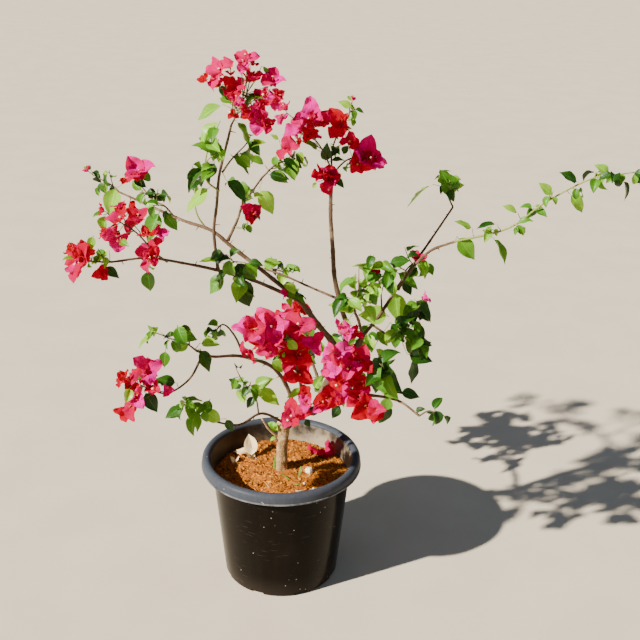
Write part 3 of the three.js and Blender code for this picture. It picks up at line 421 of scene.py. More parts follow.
masses = {
    # Top of the upright left stem
    "top_blossom": bunch(106, 9, 6, 27, 42, 36, 0.2, 60, 53, 0, (-80, -40, 880), (-70, -40, 900),
        (-55, -30, 930), blade=0.46),
    "top_foliage": bunch(117, 4, 9, 0, 48, 30, 0.15, 34, 88, 0.1, (-100, -55, 775), (-120, -60, 795),
        (-120, -60, 830), (-110, -60, 860), blade=0.72),
    "top_side_foliage": bunch(87, 2, 5, 0, 44, 30, 0.3, 24, 41, 0.12, (-95, -50, 805), (-80, -40, 825),
        (-60, -35, 845), blade=0.66),
    # Top of the upright stem
    "middle_blossom_left": bunch(55, 6, 2, 16, 40, 38, 0.35, 42, 85, 0, (85, 80, 780), (65, 80, 820),
        (35, 80, 855), blade=0.55),
    "middle_blossom_right": bunch(282, 4, 2, 10, 40, 40, 0.45, 32, 98, 0, (85, 80, 770), (110, 85, 795),
        (140, 90, 805), blade=0.5),
    "middle_foliage": bunch(137, 5, 9, 3, 38, 36, 0.2, 28, 37, 0.12, (85, 80, 785), (85, 90, 810),
        (95, 100, 840), (115, 105, 875), blade=0.25),
    "middle_blossom_low": bunch(149, 2, 2, 2, 36, 38, 0.4, 20, 79, 0.12, (85, 75, 735), (80, 60, 750),
        (75, 50, 770), blade=0.72, tipBloom=30),
    # Between the two tops
    "centre_top_foliage": bunch(86, 4, 9, 0, 44, 30, 0.1, 36, 32, 0, (-40, 110, 755), (-15, 130, 775),
        (15, 150, 780), blade=0.64),
    "centre_mid_foliage": bunch(141, 3, 6, 0, 48, 30, 0.15, 34, 30, 0.35, (-75, 50, 710), (-70, 35, 730),
        (-70, 20, 755), blade=0.7),
    "centre_single_blossom": bunch(85, 2, 3, 2, 36, 36, 0.5, 14, 24, 0.15, (-85, 35, 685), (-65, 20, 690),
        (-55, 10, 715), blade=0.45),
    "young_shoot": bunch(299, 2, 3, 0, 62, 30, 0.5, 14, 48, 0.6, (-135, 40, 680), (-150, 40, 705),
        (-155, 50, 735), (-150, 55, 770), blade=0.62),
    # Upper left
    "left_high_foliage": bunch(196, 4, 10, 1, 48, 36, 0.1, 36, 7, 0, (-200, 85, 690), (-215, 88, 706),
        (-238, 104, 712), (-260, 125, 730), blade=0.4),
    "left_far_foliage": bunch(119, 3, 6, 1, 44, 30, 0.1, 30, 37, 0.12, (-310, 160, 710), (-325, 170, 720),
        (-350, 180, 730), blade=0.4),
    "left_blossom": bunch(181, 6, 3, 14, 46, 38, 0.15, 36, 42, 0, (-180, -125, 675), (-195, -150, 700),
        (-220, -160, 735), (-245, -155, 750), blade=0.5),
    "left_tip_blossom": bunch(203, 4, 7, 3, 38, 36, 0.1, 30, 37, 0, (-255, -185, 695), (-270, -200, 700),
        (-290, -210, 705), blade=0.55, tipBloom=36),
    "left_inner_foliage": bunch(271, 4, 8, 0, 52, 30, 0.3, 36, 85, 0.12, (-90, -50, 630), (-80, -70, 655),
        (-70, -90, 665), blade=0.72, greens=(0.05, 0.4, 0.55)),
    "left_hanging_foliage": bunch(265, 1, 2, 0, 62, 30, 0.3, 14, 85, 0.5, (-60, -30, 615), (-60, -50, 620),
        (-65, -60, 610)),
    # Middle
    "centre_foliage": bunch(248, 3, 6, 0, 42, 30, 0.1, 26, 20, 0.12, (-40, 125, 575), (-25, 140, 570),
        (0, 150, 560), blade=0.72),
    "fork_foliage": bunch(99, 3, 4, 1, 42, 24, 0.3, 22, 41, 0, (30, 0, 565), (20, -10, 575), (10, -25, 585),
        blade=0.6, tipBloom=19),
    # Lower left
    "low_left_foliage": bunch(260, 4, 8, 0, 46, 30, 0.1, 30, 24, 0.12, (-135, -150, 530), (-150, -165, 550),
        (-175, -180, 565), blade=0.72, greens=(0.4, 0.4, 0.2)),
    "arch_foliage": bunch(201, 3, 6, 0, 44, 30, 0.5, 26, 15, 0.12, (-60, -90, 490), (-75, -100, 535),
        (-95, -110, 560), (-115, -125, 535), foot=2.2, blade=0.72),
    "low_left_blossom": bunch(151, 6, 7, 14, 46, 40, 0.62, 48, 69, 0, (-125, -145, 520), (-145, -165, 485),
        (-180, -190, 470), (-215, -205, 490), foot=2.2, blade=0.55),
    "low_foot_foliage": bunch(18, 5, 11, 0, 48, 30, 0.05, 38, 15, 0.12, (-125, -120, 385),
        (-140, -135, 405), (-160, -150, 430), blade=0.72, greens=(0.2, 0.45, 0.35)),
    "low_mid_foliage": bunch(298, 4, 8, 0, 46, 30, 0.3, 34, 12, 0, (-40, -35, 350), (-45, -50, 395),
        (-65, -65, 430), blade=0.64),
    # Front
    "front_blossom_left": bunch(128, 11, 6, 33, 42, 44, 0.42, 52, 5, 0, (40, 15, 325), (35, -70, 440),
        (15, -120, 525), (-35, -130, 570), foot=3.2, blade=0.7),
    "front_blossom_right": bunch(44, 8, 3, 24, 42, 44, 0.35, 50, 24, 0, (75, 25, 355), (95, -60, 430),
        (110, -125, 495), (110, -150, 535), foot=3.2, blade=0.5),
    "front_blossom_outer": bunch(33, 5, 1, 13, 44, 44, 0.45, 36, 22, 0, (95, 40, 390), (130, -50, 410),
        (145, -110, 430), (155, -140, 430), foot=2.8, blade=0.62),
    "front_blossom_low": bunch(256, 5, 3, 11, 44, 42, 0.45, 34, 88, 0, (35, 10, 325), (55, -70, 390),
        (45, -120, 420), (30, -150, 420), foot=2.8, blade=0.55),
    # Right
    "right_inner_foliage": bunch(140, 5, 11, 0, 46, 30, 0, 44, 6, 0, (130, -20, 550), (130, -30, 570),
        (135, -35, 595), blade=0.76, greens=(0.45, 0.4, 0.15)),
    "right_mid_foliage": bunch(117, 4, 9, 0, 54, 30, 0.2, 40, 86, 0.12, (185, 90, 510), (180, 75, 555),
        (170, 65, 595), blade=0.76, tipBloom=16),
    "right_top_foliage": bunch(218, 4, 9, 2, 50, 28, 0.2, 38, 34, 0.12, (225, 120, 560), (230, 110, 585),
        (245, 100, 605), blade=0.72, tipBloom=33),
    "right_outer_foliage": bunch(12, 6, 13, 1, 48, 26, 0.3, 44, 98, 0.12, (165, 80, 485), (200, 60, 470),
        (225, 50, 475), (240, 45, 515), foot=2.4, blade=0.8, greens=(0.15, 0.4, 0.45)),
    "right_low_foliage": bunch(90, 4, 8, 0, 62, 30, 0.2, 34, 45, 0.4, (185, -90, 420), (190, -110, 450),
        (180, -130, 485), blade=0.94, greens=(0.05, 0.3, 0.65)),
    "low_right_tip_foliage": bunch(185, 2, 4, 0, 36, 30, 0.1, 14, 42, 0.12, (240, -150, 415),
        (255, -160, 430), (270, -165, 425), blade=0.72, greens=(0, 0.1, 0.9)),
    "high_right_foliage": bunch(17, 3, 6, 0, 44, 30, 0, 34, 17, 0.12, (320, 200, 680), (310, 210, 700),
        (305, 215, 715), blade=0.72),
    "long_shoot_foliage": bunch(158, 8, 17, 0, 38, 30, 0.05, 12, 71, 0, (305, 35, 665), (390, 5, 700),
        (445, -20, 755), (510, -50, 805), (560, -70, 820), foot=2.1, blade=0.68),
    # Back
    "back_blossom": bunch(209, 6, 7, 11, 46, 38, 0.1, 66, 23, 0.7, (55, 215, 340), (40, 245, 355),
        (30, 270, 365), foot=2.4),
    "back_foliage": bunch(99, 6, 14, 0, 48, 30, 0.2, 66, 88, 1, (70, 140, 335), (100, 190, 340),
        (125, 240, 345), foot=2.4),
}

# Leaves that stand out in the photograph, read off it: the pixel of the foot, that of the tip, how wide
# the leaf looks there and its green (0 lime, 1 mid, 2 dark)
# green 0 marks a sunlit leaf and green 2 a shaded one: painted light and painted shade
notedLeaves = {
    "top_blossom": [(223, 104.3, 196.4, 116.8, 12, 0), (235.7, 120.4, 253.6, 143.6, 9, 1),
        (219, 98, 234, 102, 8, 1), (222, 84, 223, 98, 9, 2), (262, 66, 271, 74, 5, 0),
        (243, 94, 254, 104, 6, 1)],
    "top_foliage": [(209, 165, 187.5, 186.4, 10, 2), (210.7, 186.4, 182.9, 207.9, 15, 0),
        (220.7, 120.4, 195.7, 141, 14, 0), (219, 140, 211, 161, 13, 1), (222, 146, 218, 163, 9, 0),
        (215, 162, 208, 178, 15, 2)],
    "top_side_foliage": [(225.7, 179.3, 248.2, 200, 14, 2), (230.4, 154.3, 250, 172, 10, 1)],
    "middle_foliage": [(353, 107.6, 339.3, 100.7, 8, 0), (353.2, 108.5, 355.4, 120.2, 6, 1),
        (355, 108, 364, 112.4, 5, 2), (318.5, 151, 305, 138.4, 8, 1), (325.5, 162, 326.3, 144, 12, 2),
        (329.8, 144, 337.2, 158, 7, 0), (330.7, 160.5, 343.7, 158.7, 6, 2)],
    "middle_blossom_low": [(316.8, 182, 312.5, 188.6, 8, 0)],
    "centre_top_foliage": [(259, 188, 275, 214, 16, 0), (267.9, 173.9, 288.6, 177.5, 12, 2),
        (282, 157.9, 297.5, 174, 10, 2), (279.5, 139.7, 271, 134.5, 5, 0), (295, 152.7, 304.2, 163, 6, 2),
        (271, 172.6, 288.2, 180.4, 11, 1), (276, 155, 274, 168.7, 7, 1), (265, 165, 249, 155, 8, 1)],
    "left_high_foliage": [(164.3, 211.4, 176.8, 231, 16, 1), (160, 211, 146, 241, 17, 1),
        (133, 178, 146, 187, 10, 2), (152, 196, 165, 199, 9, 2)],
    "left_far_foliage": [(116, 186, 109, 215, 16, 0)],
    "left_blossom": [(148.2, 268.6, 148.5, 293, 18, 1)],
    "left_tip_blossom": [(93, 235, 90, 250, 9, 0), (104, 266, 118, 278, 12, 2), (109, 250, 94, 263, 9, 0)],
    "left_inner_foliage": [(235.7, 275.7, 250, 307.9, 21, 2), (225, 274, 207, 291.8, 13, 1),
        (237.5, 265, 257, 277.5, 12, 1), (223, 263, 200, 258, 9, 0)],
    "centre_foliage": [(260.7, 265, 279, 261.4, 10, 0), (283.9, 270.4, 296.4, 265, 9, 1)],
    "low_left_foliage": [(198.6, 348.6, 212.3, 370, 12, 2), (160, 331.4, 135.7, 342.9, 7, 0),
        (171.4, 331.4, 190, 332.9, 11, 0), (190, 342.9, 174.3, 350.9, 11, 0),
        (200, 342.9, 218.6, 342.9, 9, 0), (165.7, 350, 163.7, 368.6, 10, 1)],
    "arch_foliage": [(271.3, 360, 283, 371.8, 8, 0)],
    "low_left_blossom": [(177, 382.9, 156.3, 378.6, 12, 2), (144.3, 391.4, 157, 411.4, 14, 2)],
    "low_foot_foliage": [(182.9, 407, 164.9, 417, 14, 2), (210, 398.6, 204, 415.7, 14, 1),
        (188.6, 398.6, 192.9, 415.7, 12, 1), (225.7, 418.6, 232.9, 432, 12, 2)],
    "low_mid_foliage": [(253.6, 386.4, 271.4, 377.5, 14, 0), (259, 388, 279.3, 404, 18, 0)],
    "front_blossom_left": [(308.6, 390, 286.2, 393, 9, 0), (305, 418.7, 310.2, 427.8, 7, 2)],
    "front_blossom_right": [(314, 388.9, 321.4, 376, 10, 0)],
    "front_blossom_outer": [(340.6, 404.9, 331, 418, 9, 2)],
    "right_inner_foliage": [(357, 311, 332, 301, 13, 0), (350, 318, 341, 328, 8, 0)],
    "right_mid_foliage": [(389, 317, 361, 313, 16, 0), (382, 282, 363.6, 301.4, 14, 0),
        (378.6, 268.6, 353.6, 263, 9, 0), (384, 274, 362, 279, 10, 1), (386, 278, 397, 296, 11, 0),
        (388, 264, 408, 257, 10, 2)],
    "right_top_foliage": [(394.6, 290, 398, 322, 24, 0), (396, 272, 420, 286, 12, 1),
        (404, 280, 411, 295, 10, 2)],
    "right_outer_foliage": [(410.7, 299, 414, 325.7, 14, 2), (414, 299, 432.9, 320, 12, 2),
        (410.7, 341.8, 431.4, 343.6, 11, 2), (407, 354, 432, 359.6, 14, 2),
        (412.5, 357.9, 413.6, 382.9, 9, 2), (355, 330, 346, 345, 13, 0), (390, 322, 405, 342, 14, 2),
        (374, 348, 393, 361, 10, 0), (370, 326, 358, 334, 8, 1), (376, 330, 388, 346, 10, 1)],
    "right_low_foliage": [(378.6, 354, 380, 393.6, 20, 2), (389, 400.7, 378.6, 425.7, 18, 2),
        (400, 391.8, 419.6, 395.4, 11, 2), (388, 386, 396, 396, 9, 2)],
    "low_right_tip_foliage": [(415, 411, 425, 408, 5, 2), (425, 412, 437, 414, 5, 2)],
    "high_right_foliage": [(454.9, 196.6, 443, 171, 18, 1), (432.6, 184.6, 404, 201, 6, 0)],
    "long_shoot_foliage": [(456.6, 236, 476, 259.3, 20, 1), (492.6, 237.7, 509.7, 261.7, 10, 1),
        (497, 224, 477, 225.7, 7, 2), (472.7, 228.5, 457.6, 218, 8, 0), (518.3, 213, 504.6, 205, 7, 0),
        (551.9, 194.9, 541, 182.9, 9, 0), (578.3, 182.9, 562.9, 171.5, 9, 2),
        (569.7, 194, 585.8, 211.3, 12, 0), (609, 174.3, 598, 164, 8, 0), (622.9, 179.4, 631.4, 199, 8, 2)],
}
# and single blossoms: the pixel of the heart, how wide the blossom looks and its red (0 pink, 1 crimson,
# 2 scarlet)
# red 0 marks a sunlit blossom and red 2 a shaded one: painted light and painted shade
notedBlooms = {
    "top_blossom": [(216, 70, 26, 0), (204, 79, 12, 2), (244.6, 58.6, 20, 0), (235.7, 84.6, 22, 1),
        (255.4, 75.7, 16, 1), (273, 79, 24, 0), (261, 99, 19, 1), (274, 100, 15, 0), (258, 117, 24, 0),
        (248, 114, 13, 2), (268, 123, 16, 1), (233, 114, 9, 2)],
    "middle_blossom_left": [(297.7, 125, 25, 0), (287.3, 145.7, 20, 1), (309.9, 113.7, 26, 0),
        (321, 120.6, 22, 1)],
    "middle_blossom_right": [(339.3, 122.3, 26, 2), (349.7, 140.5, 18, 1), (368, 154, 30, 0),
        (360, 164, 22, 2), (376, 160, 20, 0)],
    "middle_blossom_low": [(325.5, 170, 22, 2), (326.3, 186.5, 15, 1), (331, 177, 14, 1)],
    "centre_single_blossom": [(252.9, 212, 21, 1)],
    "left_high_foliage": [(136.4, 169.3, 27, 0), (137, 174, 18, 1)],
    "left_far_foliage": [(124.3, 181, 9, 2)],
    "left_blossom": [(117.9, 215.7, 20, 1), (137.5, 216.8, 23, 1), (101.8, 232.9, 12, 2),
        (116, 238, 24, 0), (147, 252.5, 28, 1)],
    "left_tip_blossom": [(77, 260, 33, 1), (101.8, 274, 15, 2), (84, 252, 20, 2), (75, 268, 18, 0)],
    "low_left_blossom": [(147, 367, 26, 0), (133, 388.6, 21, 2), (131, 406, 22, 1), (150, 385, 12, 0),
        (124, 412, 15, 2), (140, 374, 18, 1)],
    "front_blossom_left": [(251, 325, 31, 0), (274.5, 325, 29, 0), (297, 327, 25, 1), (314, 342, 19, 0),
        (299, 353, 27, 2), (272, 349, 20, 1), (247.8, 355.8, 20, 1), (298, 373, 24, 2), (285, 340, 24, 1),
        (262, 338, 22, 2)],
    "front_blossom_right": [(335, 355, 27, 0), (361, 361, 24, 1), (341.7, 378, 27, 0), (361, 383.5, 24, 1),
        (350, 368, 22, 2)],
    "front_blossom_outer": [(366, 407, 27, 2), (360, 396, 22, 1), (373, 412, 20, 1)],
    "front_blossom_low": [(329, 397, 24, 2), (322.5, 403.8, 16, 0), (305, 394, 15, 2), (292.6, 411, 24, 1),
        (343, 396, 18, 0)],
}


up = np.array((0.0, 0.0, 1.0))
shootHabit = {"spread": (35, 75), "endSpread": 0.3, "turn": 137.5, "stray": 50, "long": (0.6, 1),
              "reach": 0.95, "lift": 0.15}
leafHabit = {"low": 0.3, "end": (0.9, 1), "spread": (45, 70), "turn": 180, "stray": 140,
             "hang": (0.2, 0.9), "facing": (-0.2, -0.45, 0.9), "sway": 1.2, "long": (0.8, 1.2)}
bloomHabit = {"bracts": 3, "step": 0.3, "endSpread": (20, 50), "sideSpread": (50, 70), "lift": 0.25,
              "endStalk": 4, "sideStalk": (10, 18), "long": (0.85, 1.15), "open": 42}
# the finer growth: more shoots, and on each of them side twigs with smaller leaves or one more blossom
fineHabit = {"shoots": 0.6, "twigs": 3, "bloomTwigs": 6, "share": (0.25, 1), "spread": (40, 80), "lift": 0.1,
             "long": (0.16, 0.45), "least": 8, "leaves": 2, "leafLong": (0.7, 1.12), "stalk": 3,
             "bloomLong": (0.72, 1.02), "bloomShare": 0.85, "flowering": 4}
# leaves and blossoms read off the photograph: how wide a leaf is for its length when seen flat, how far its
# tip comes forward, how it faces, how far a heart lies before its stem and how long a bract is for the width
# of its blossom
notedHabit = {"fullWidth": 0.52, "tipNearer": 0.22, "long": 1.06, "front": (0, -0.8, 0.6),
              "heartNearer": 14, "bract": 0.84, "facing": (-0.1, -0.6, 0.6), "stray": 1.1, "sunk": 0.4}
# room to keep (mm) from limbs and from stems of neighbours, and shares of a length from leaf or blossom
clear = {"shoot": 2.5, "blade": 3, "neighbour": 1.5, "bloom": 0.7, "leafToBloom": 0.6,
         "leafToLeaf": 0.3, "fineTwig": 1.5, "fineBlade": 1.5, "fineNeighbour": -7,
         "fineBloomNeighbour": -20, "fineBloom": 0.42, "fineLeaf": 0.26, "fineLeafToBloom": 0.42}


def unit(v):
    return v / np.linalg.norm(v)


def within(pair, share):
    return pair[0] + (pair[1] - pair[0]) * share


# a direction turned square to another
def squared(direction, along):
    return unit(direction - along * np.dot(along, direction))


# numbers from 0 to 1 that are the same on every run for one seed
def stream(seed):
    state = (seed * 2654435761) & 0xFFFFFFFF

    def draw():
        nonlocal state
        state = (state * 1664525 + 1013904223) & 0xFFFFFFFF
        return state / 4294967296

    return draw


def strayed(draw, *less):
    return np.array([draw() - share for share in less or (0.5, 0.5, 0.5)])


# a point on the smooth curve through a limb's or a stem's route
def curvePoint(points, share):
    place = share * (len(points) - 1)
    i = min(int(place), len(points) - 2)
    w = place - i
    b, c = points[i], points[i + 1]
    a = points[i - 1] if i > 0 else 2 * b - c
    d = points[i + 2] if i + 2 < len(points) else 2 * c - b
    rise, fall = (c - a) / 2, (d - b) / 2
    cubic = (3 * (c - b) - 2 * rise - fall) * w * w + (2 * (b - c) + rise + fall) * w ** 3
    return b + rise * w + cubic


def curveThrough(route, stepsPerSpan):
    points = [np.array(p, float) for p in route]
    steps = stepsPerSpan * (len(points) - 1)
    return [curvePoint(points, i / steps) for i in range(steps + 1)]


# the point and the direction at a share of a row of centres
def seatOn(centres, share):
    place = share * (len(centres) - 1)
    i = min(int(place), len(centres) - 2)
    return centres[i] + (centres[i + 1] - centres[i]) * (place - i), unit(centres[i + 1] - centres[i])


def across(along):
    side = np.cross(along, up)
    if np.linalg.norm(side) < 0.05:
        side = np.cross(along, (1.0, 0, 0))
    return unit(side)


def turned(along, spread, turn):
    first = across(along)
    second = np.cross(along, first)
    t, s = math.radians(turn), math.radians(spread)
    return unit(along * math.cos(s) + (first * math.cos(t) + second * math.sin(t)) * math.sin(s))


# how far each point lies from each straight span
def distances(points, starts, ends):
    spans = ends - starts
    offsets = points[:, None] - starts[None]
    along = np.einsum("pij,ij->pi", offsets, spans) / np.maximum(1e-9, (spans ** 2).sum(1))
    return np.linalg.norm(offsets - np.clip(along, 0, 1)[..., None] * spans[None], axis=2)


# the straight spans of all these routes: their starts and their ends
def spansOf(grownOn, stepsPerSpan):
    curves = [np.array(curveThrough(one["route"], stepsPerSpan)) for one in grownOn]
    return np.concatenate([c[:-1] for c in curves]), np.concatenate([c[1:] for c in curves])


allLimbs, limbSteps = [trunk, *limbs.values()], 4
limbSpans = spansOf(allLimbs, limbSteps)
limbRadii = []
for one in allLimbs:
    steps = limbSteps * (len(one["route"]) - 1)
    limbRadii += [within((one["foot"], one["tip"]), i / steps) for i in range(steps)]
limbRadii = np.array(limbRadii)


# True where the points lie clear of every limb and nearer to their own stem than to any other
def spaceTest(name):
    own = spansOf([masses[name]], 3)
    others = spansOf([mass for other, mass in masses.items() if other != name], 3)

    def fits(points, margin, neighbour=clear["neighbour"]):
        points = np.array(points)
        if (distances(points, *limbSpans) - limbRadii < margin).any():
            return False
        home = distances(points, *own).min(1)
        return not (distances(points, *others).min(1) < home + neighbour).any()

    return fits


# a blade is tested by nine points: two places on each edge and the tip, and four halfway between. These are
# the two places as shares of its length, then how it folds along its midrib and how it droops
bladeOutline = {"leaf": ((0.28, 0.27), (0.62, 0.25), 0.3, 0.1),
                "bract": ((0.3, 0.17), (0.62, 0.33), -0.3, -0.1)}


def bladeSamples(blade):
    low, high, fold, droop = bladeOutline[blade["kind"]]
    root, along, normal = blade["root"], blade["along"], blade["normal"]
    beside = np.cross(normal, along)

    def place(a, b):
        return root + (along * a + beside * b + normal * (fold * abs(b) - droop * a * a)) * blade["long"]

    left, tip, right = place(*high), place(1, 0), place(high[0], -high[1])
    return [place(*low), left, tip, right, place(low[0], -low[1]),
            (root + tip) / 2, (left + right) / 2, (left + tip) / 2, (tip + right) / 2]


def shootFrom(start, heading, long):
    return [start, start + heading * long * shootHabit["reach"] + up * shootHabit["lift"] * long]


def shootSamples(shoot):
    return [seatOn(shoot, share)[0] for share in (0.3, 0.5, 0.7, 0.85, 1)]


def shootOn(mass, stem, i, phase, draw):
    start, along = seatOn(stem, within((mass["bare"], 1), (i + 1) / mass["shoots"]))
    last = i == mass["shoots"] - 1
    spread = within(shootHabit["spread"], draw()) * (shootHabit["endSpread"] if last else 1)
    turn = phase + shootHabit["turn"] * i + shootHabit["stray"] * (draw() - 0.5)
    long = mass["reach"] * within(shootHabit["long"], draw())
    return shootFrom(start, turned(along, spread, turn), long)


# a leaf hangs out and down from its twig, with its face turned up and to the front
def leafAt(path, share, turn, long, draw):
    root, along = seatOn(path, share)
    out = turned(along, within(leafHabit["spread"], draw()), turn)
    out = unit(out - up * within(leafHabit["hang"], draw()))
    left, front, rise = leafHabit["facing"]
    sway = leafHabit["sway"]
    facing = unit(np.array((sway * (draw() - 0.5) + left, sway * (draw() - 0.5) + front, rise)))
    size = long * within(leafHabit["long"], draw())
    return {"kind": "leaf", "root": root, "along": out, "normal": squared(facing, out), "long": size,
            "middle": root + out * size / 2}


def leafOn(mass, k, stem, shoots, phase, draw):
    which, cycle = k % (len(shoots) + 1), k // (len(shoots) + 1)
    onStem = which == len(shoots)
    share = within((mass["bare"] if onStem else leafHabit["low"], 1), draw())
    if cycle == 0 and mass["blooms"] == 0:
        share = within(leafHabit["end"], draw())
    turn = phase + leafHabit["turn"] * cycle + leafHabit["stray"] * draw()
    leaf = leafAt(stem if onStem else shoots[which], share, turn, mass["leaf"], draw)
    return {**leaf, "shoot": which}


# a blossom is three bracts round one axis
def bloomOf(foot, axis, stalk, spin, long):
    centre = foot + axis * stalk
    first = across(axis)
    second = np.cross(axis, first)
    opened = math.radians(bloomHabit["open"])
    bracts = []
    for i in range(bloomHabit["bracts"]):
        angle = math.radians(spin + 360 / bloomHabit["bracts"] * i)
        out = first * math.cos(angle) + second * math.sin(angle)
        bracts.append({"kind": "bract", "root": centre, "long": long,
                       "along": axis * math.cos(opened) + out * math.sin(opened),
                       "normal": out * math.cos(opened) - axis * math.sin(opened)})
    return {"foot": foot, "centre": centre, "axis": axis, "bracts": bracts, "long": long}


def bloomOn(mass, k, shoots, draw):
    which, cycle = len(shoots) - 1 - k % len(shoots), k // len(shoots)
    foot, along = seatOn(shoots[which], 1 - bloomHabit["step"] * cycle)
    turn = 360 * draw()
    spread = bloomHabit["sideSpread"] if cycle else bloomHabit["endSpread"]
    axis = unit(turned(along, within(spread, draw()), turn) + up * bloomHabit["lift"])
    stalk = within(bloomHabit["sideStalk"], draw()) if cycle else bloomHabit["endStalk"]
    spin = 360 / bloomHabit["bracts"] * draw()
    bloom = bloomOf(foot, axis, stalk, spin, mass["bract"] * within(bloomHabit["long"], draw()))
    return {**bloom, "shoot": which}


def farFrom(point, others, key, least):
    return all(np.linalg.norm(other[key] - point) > least for other in others)


def farFromBlooms(point, blooms, share):
    return all(np.linalg.norm(b["centre"] - point) > share * b["long"] for b in blooms)


# what the solid of a mass holds: the same draws in the same order
def growMass(mass, stem, fits):
    draw = stream(mass["seed"])
    phase = 360 * draw()
    shoots = [shootOn(mass, stem, i, phase, draw) for i in range(mass["shoots"])]
    leaves = [leafOn(mass, k, stem, shoots, phase, draw) for k in range(mass["leaves"])]
    blooms = [bloomOn(mass, k, shoots, draw) for k in range(mass["blooms"])]
    room = [fits(shootSamples(shoot), clear["shoot"]) for shoot in shoots] + [True]
    keptBlooms, keptLeaves = [], []
    for bloom in blooms:
        apart = farFrom(bloom["centre"], keptBlooms, "centre", clear["bloom"] * bloom["long"])
        if apart and room[bloom["shoot"]]:
            if all(fits(bladeSamples(bract), clear["blade"]) for bract in bloom["bracts"]):
                keptBlooms.append(bloom)
    for leaf in leaves:
        apart = farFrom(leaf["middle"], keptLeaves, "middle", clear["leafToLeaf"] * leaf["long"])
        free = farFromBlooms(leaf["middle"], keptBlooms, clear["leafToBloom"])
        if apart and free and room[leaf["shoot"]] and fits(bladeSamples(leaf), clear["blade"]):
            keptLeaves.append(leaf)
    used = {item["shoot"] for item in keptBlooms + keptLeaves}
    return [shoot for i, shoot in enumerate(shoots) if i in used], keptLeaves, keptBlooms


# the camera in millimetres, and its focal length and the picture's middle in pixels
eye = np.array(camera["place"]) / mm
cameraTurn = np.array((pitch @ roll).to_3x3())
focal, pictureMiddle = camera["lens"] / camera["sensor"] * camera["picture"], camera["picture"] / 2


# the place on a mass's stem that is seen nearest to a pixel: its share of the stem and its depth
def seatSeen(mass, x, y):
    points = curveThrough(mass["route"], 8)
    gaps = []
    for point in points:
        right, over, back = cameraTurn.T @ (point - eye)
        seenX, seenY = pictureMiddle - focal * right / back, pictureMiddle + focal * over / back
        gaps.append(math.hypot(seenX - x, seenY - y))
    i = int(np.argmin(gaps))
    return round(i / (len(points) - 1), 2), points[i][1]


# the point that is seen at a pixel and lies at a depth
def pointAt(x, y, depth):
    ray = cameraTurn @ ((x - pictureMiddle) / focal, (pictureMiddle - y) / focal, -1)
    return eye + ray * (depth - eye[1]) / ray[1]


# a leaf from the photograph, on a twig of its own: the narrower it looks, the more it is turned
def notedLeaf(mass, stem, x, y, tipX, tipY, wide, green):
    share, depth = seatSeen(mass, x, y)
    foot = pointAt(x, y, depth)
    nearer = notedHabit["tipNearer"] * np.linalg.norm(pointAt(tipX, tipY, depth) - foot)
    foot, tip = np.round(foot), np.round(pointAt(tipX, tipY, depth - nearer))
    slim = wide / math.hypot(tipX - x, tipY - y) / notedHabit["fullWidth"]
    turn = 5 * round(math.degrees(math.acos(min(1, slim))) / 5)
    out = unit(tip - foot)
    front = squared(np.array(notedHabit["front"]), out)
    side = np.cross(out, front)
    lean = math.radians(turn) * (1 if side[2] > 0 else -1)
    return {"kind": "leaf", "root": foot, "along": out, "middle": (foot + tip) / 2, "green": green,
            "long": np.linalg.norm(tip - foot) * notedHabit["long"],
            "normal": front * math.cos(lean) + side * math.sin(lean), "twig": [seatOn(stem, share)[0], foot]}


# a blossom from the photograph, on a stalk of its own, turned up and to the front
def notedBloom(mass, stem, x, y, wide, red, draw):
    share, depth = seatSeen(mass, x, y)
    heart = pointAt(x, y, depth - notedHabit["heartNearer"])
    long = round(wide * np.linalg.norm(heart - eye) / focal * notedHabit["bract"])
    heart, seat = np.round(heart), seatOn(stem, share)[0]
    stray = strayed(draw) * notedHabit["stray"]
    axis = unit(unit(heart - seat) * 0.5 + np.array(notedHabit["facing"]) + stray)
    heart = heart - axis * long * notedHabit["sunk"]
    return {**bloomOf(heart, axis, 0, 360 * draw(), long), "foot": seat, "red": red}


# leaves on both sides of a fine twig, as far as there is room
def addFineLeaves(mass, twig, turn, leaves, blooms, room, draw):
    for j in range(fineHabit["leaves"]):
        size = mass["leaf"] * within(fineHabit["leafLong"], draw())
        leaf = leafAt(twig, 1 - 0.5 * j, turn + 90 + 180 * j + 60 * draw(), size, draw)
        apart = farFrom(leaf["middle"], leaves, "middle", clear["fineLeaf"] * size)
        free = farFromBlooms(leaf["middle"], blooms, clear["fineLeafToBloom"])
        if apart and free and room(bladeSamples(leaf), clear["fineBlade"]):
            leaves.append(leaf)


# or a blossom at its end
def addFineBloom(mass, twig, heading, blooms, room, draw):
    axis = turned(heading, within(bloomHabit["endSpread"], draw()), 360 * draw())
    axis, size = unit(axis + up * bloomHabit["lift"]), mass["bract"] * within(fineHabit["bloomLong"], draw())
    bloom = bloomOf(twig[1], axis, fineHabit["stalk"], 120 * draw(), size)
    apart = farFrom(bloom["centre"], blooms, "centre", clear["fineBloom"] * size)
    if apart and all(room(bladeSamples(bract), clear["fineBlade"]) for bract in bloom["bracts"]):
        blooms.append(bloom)


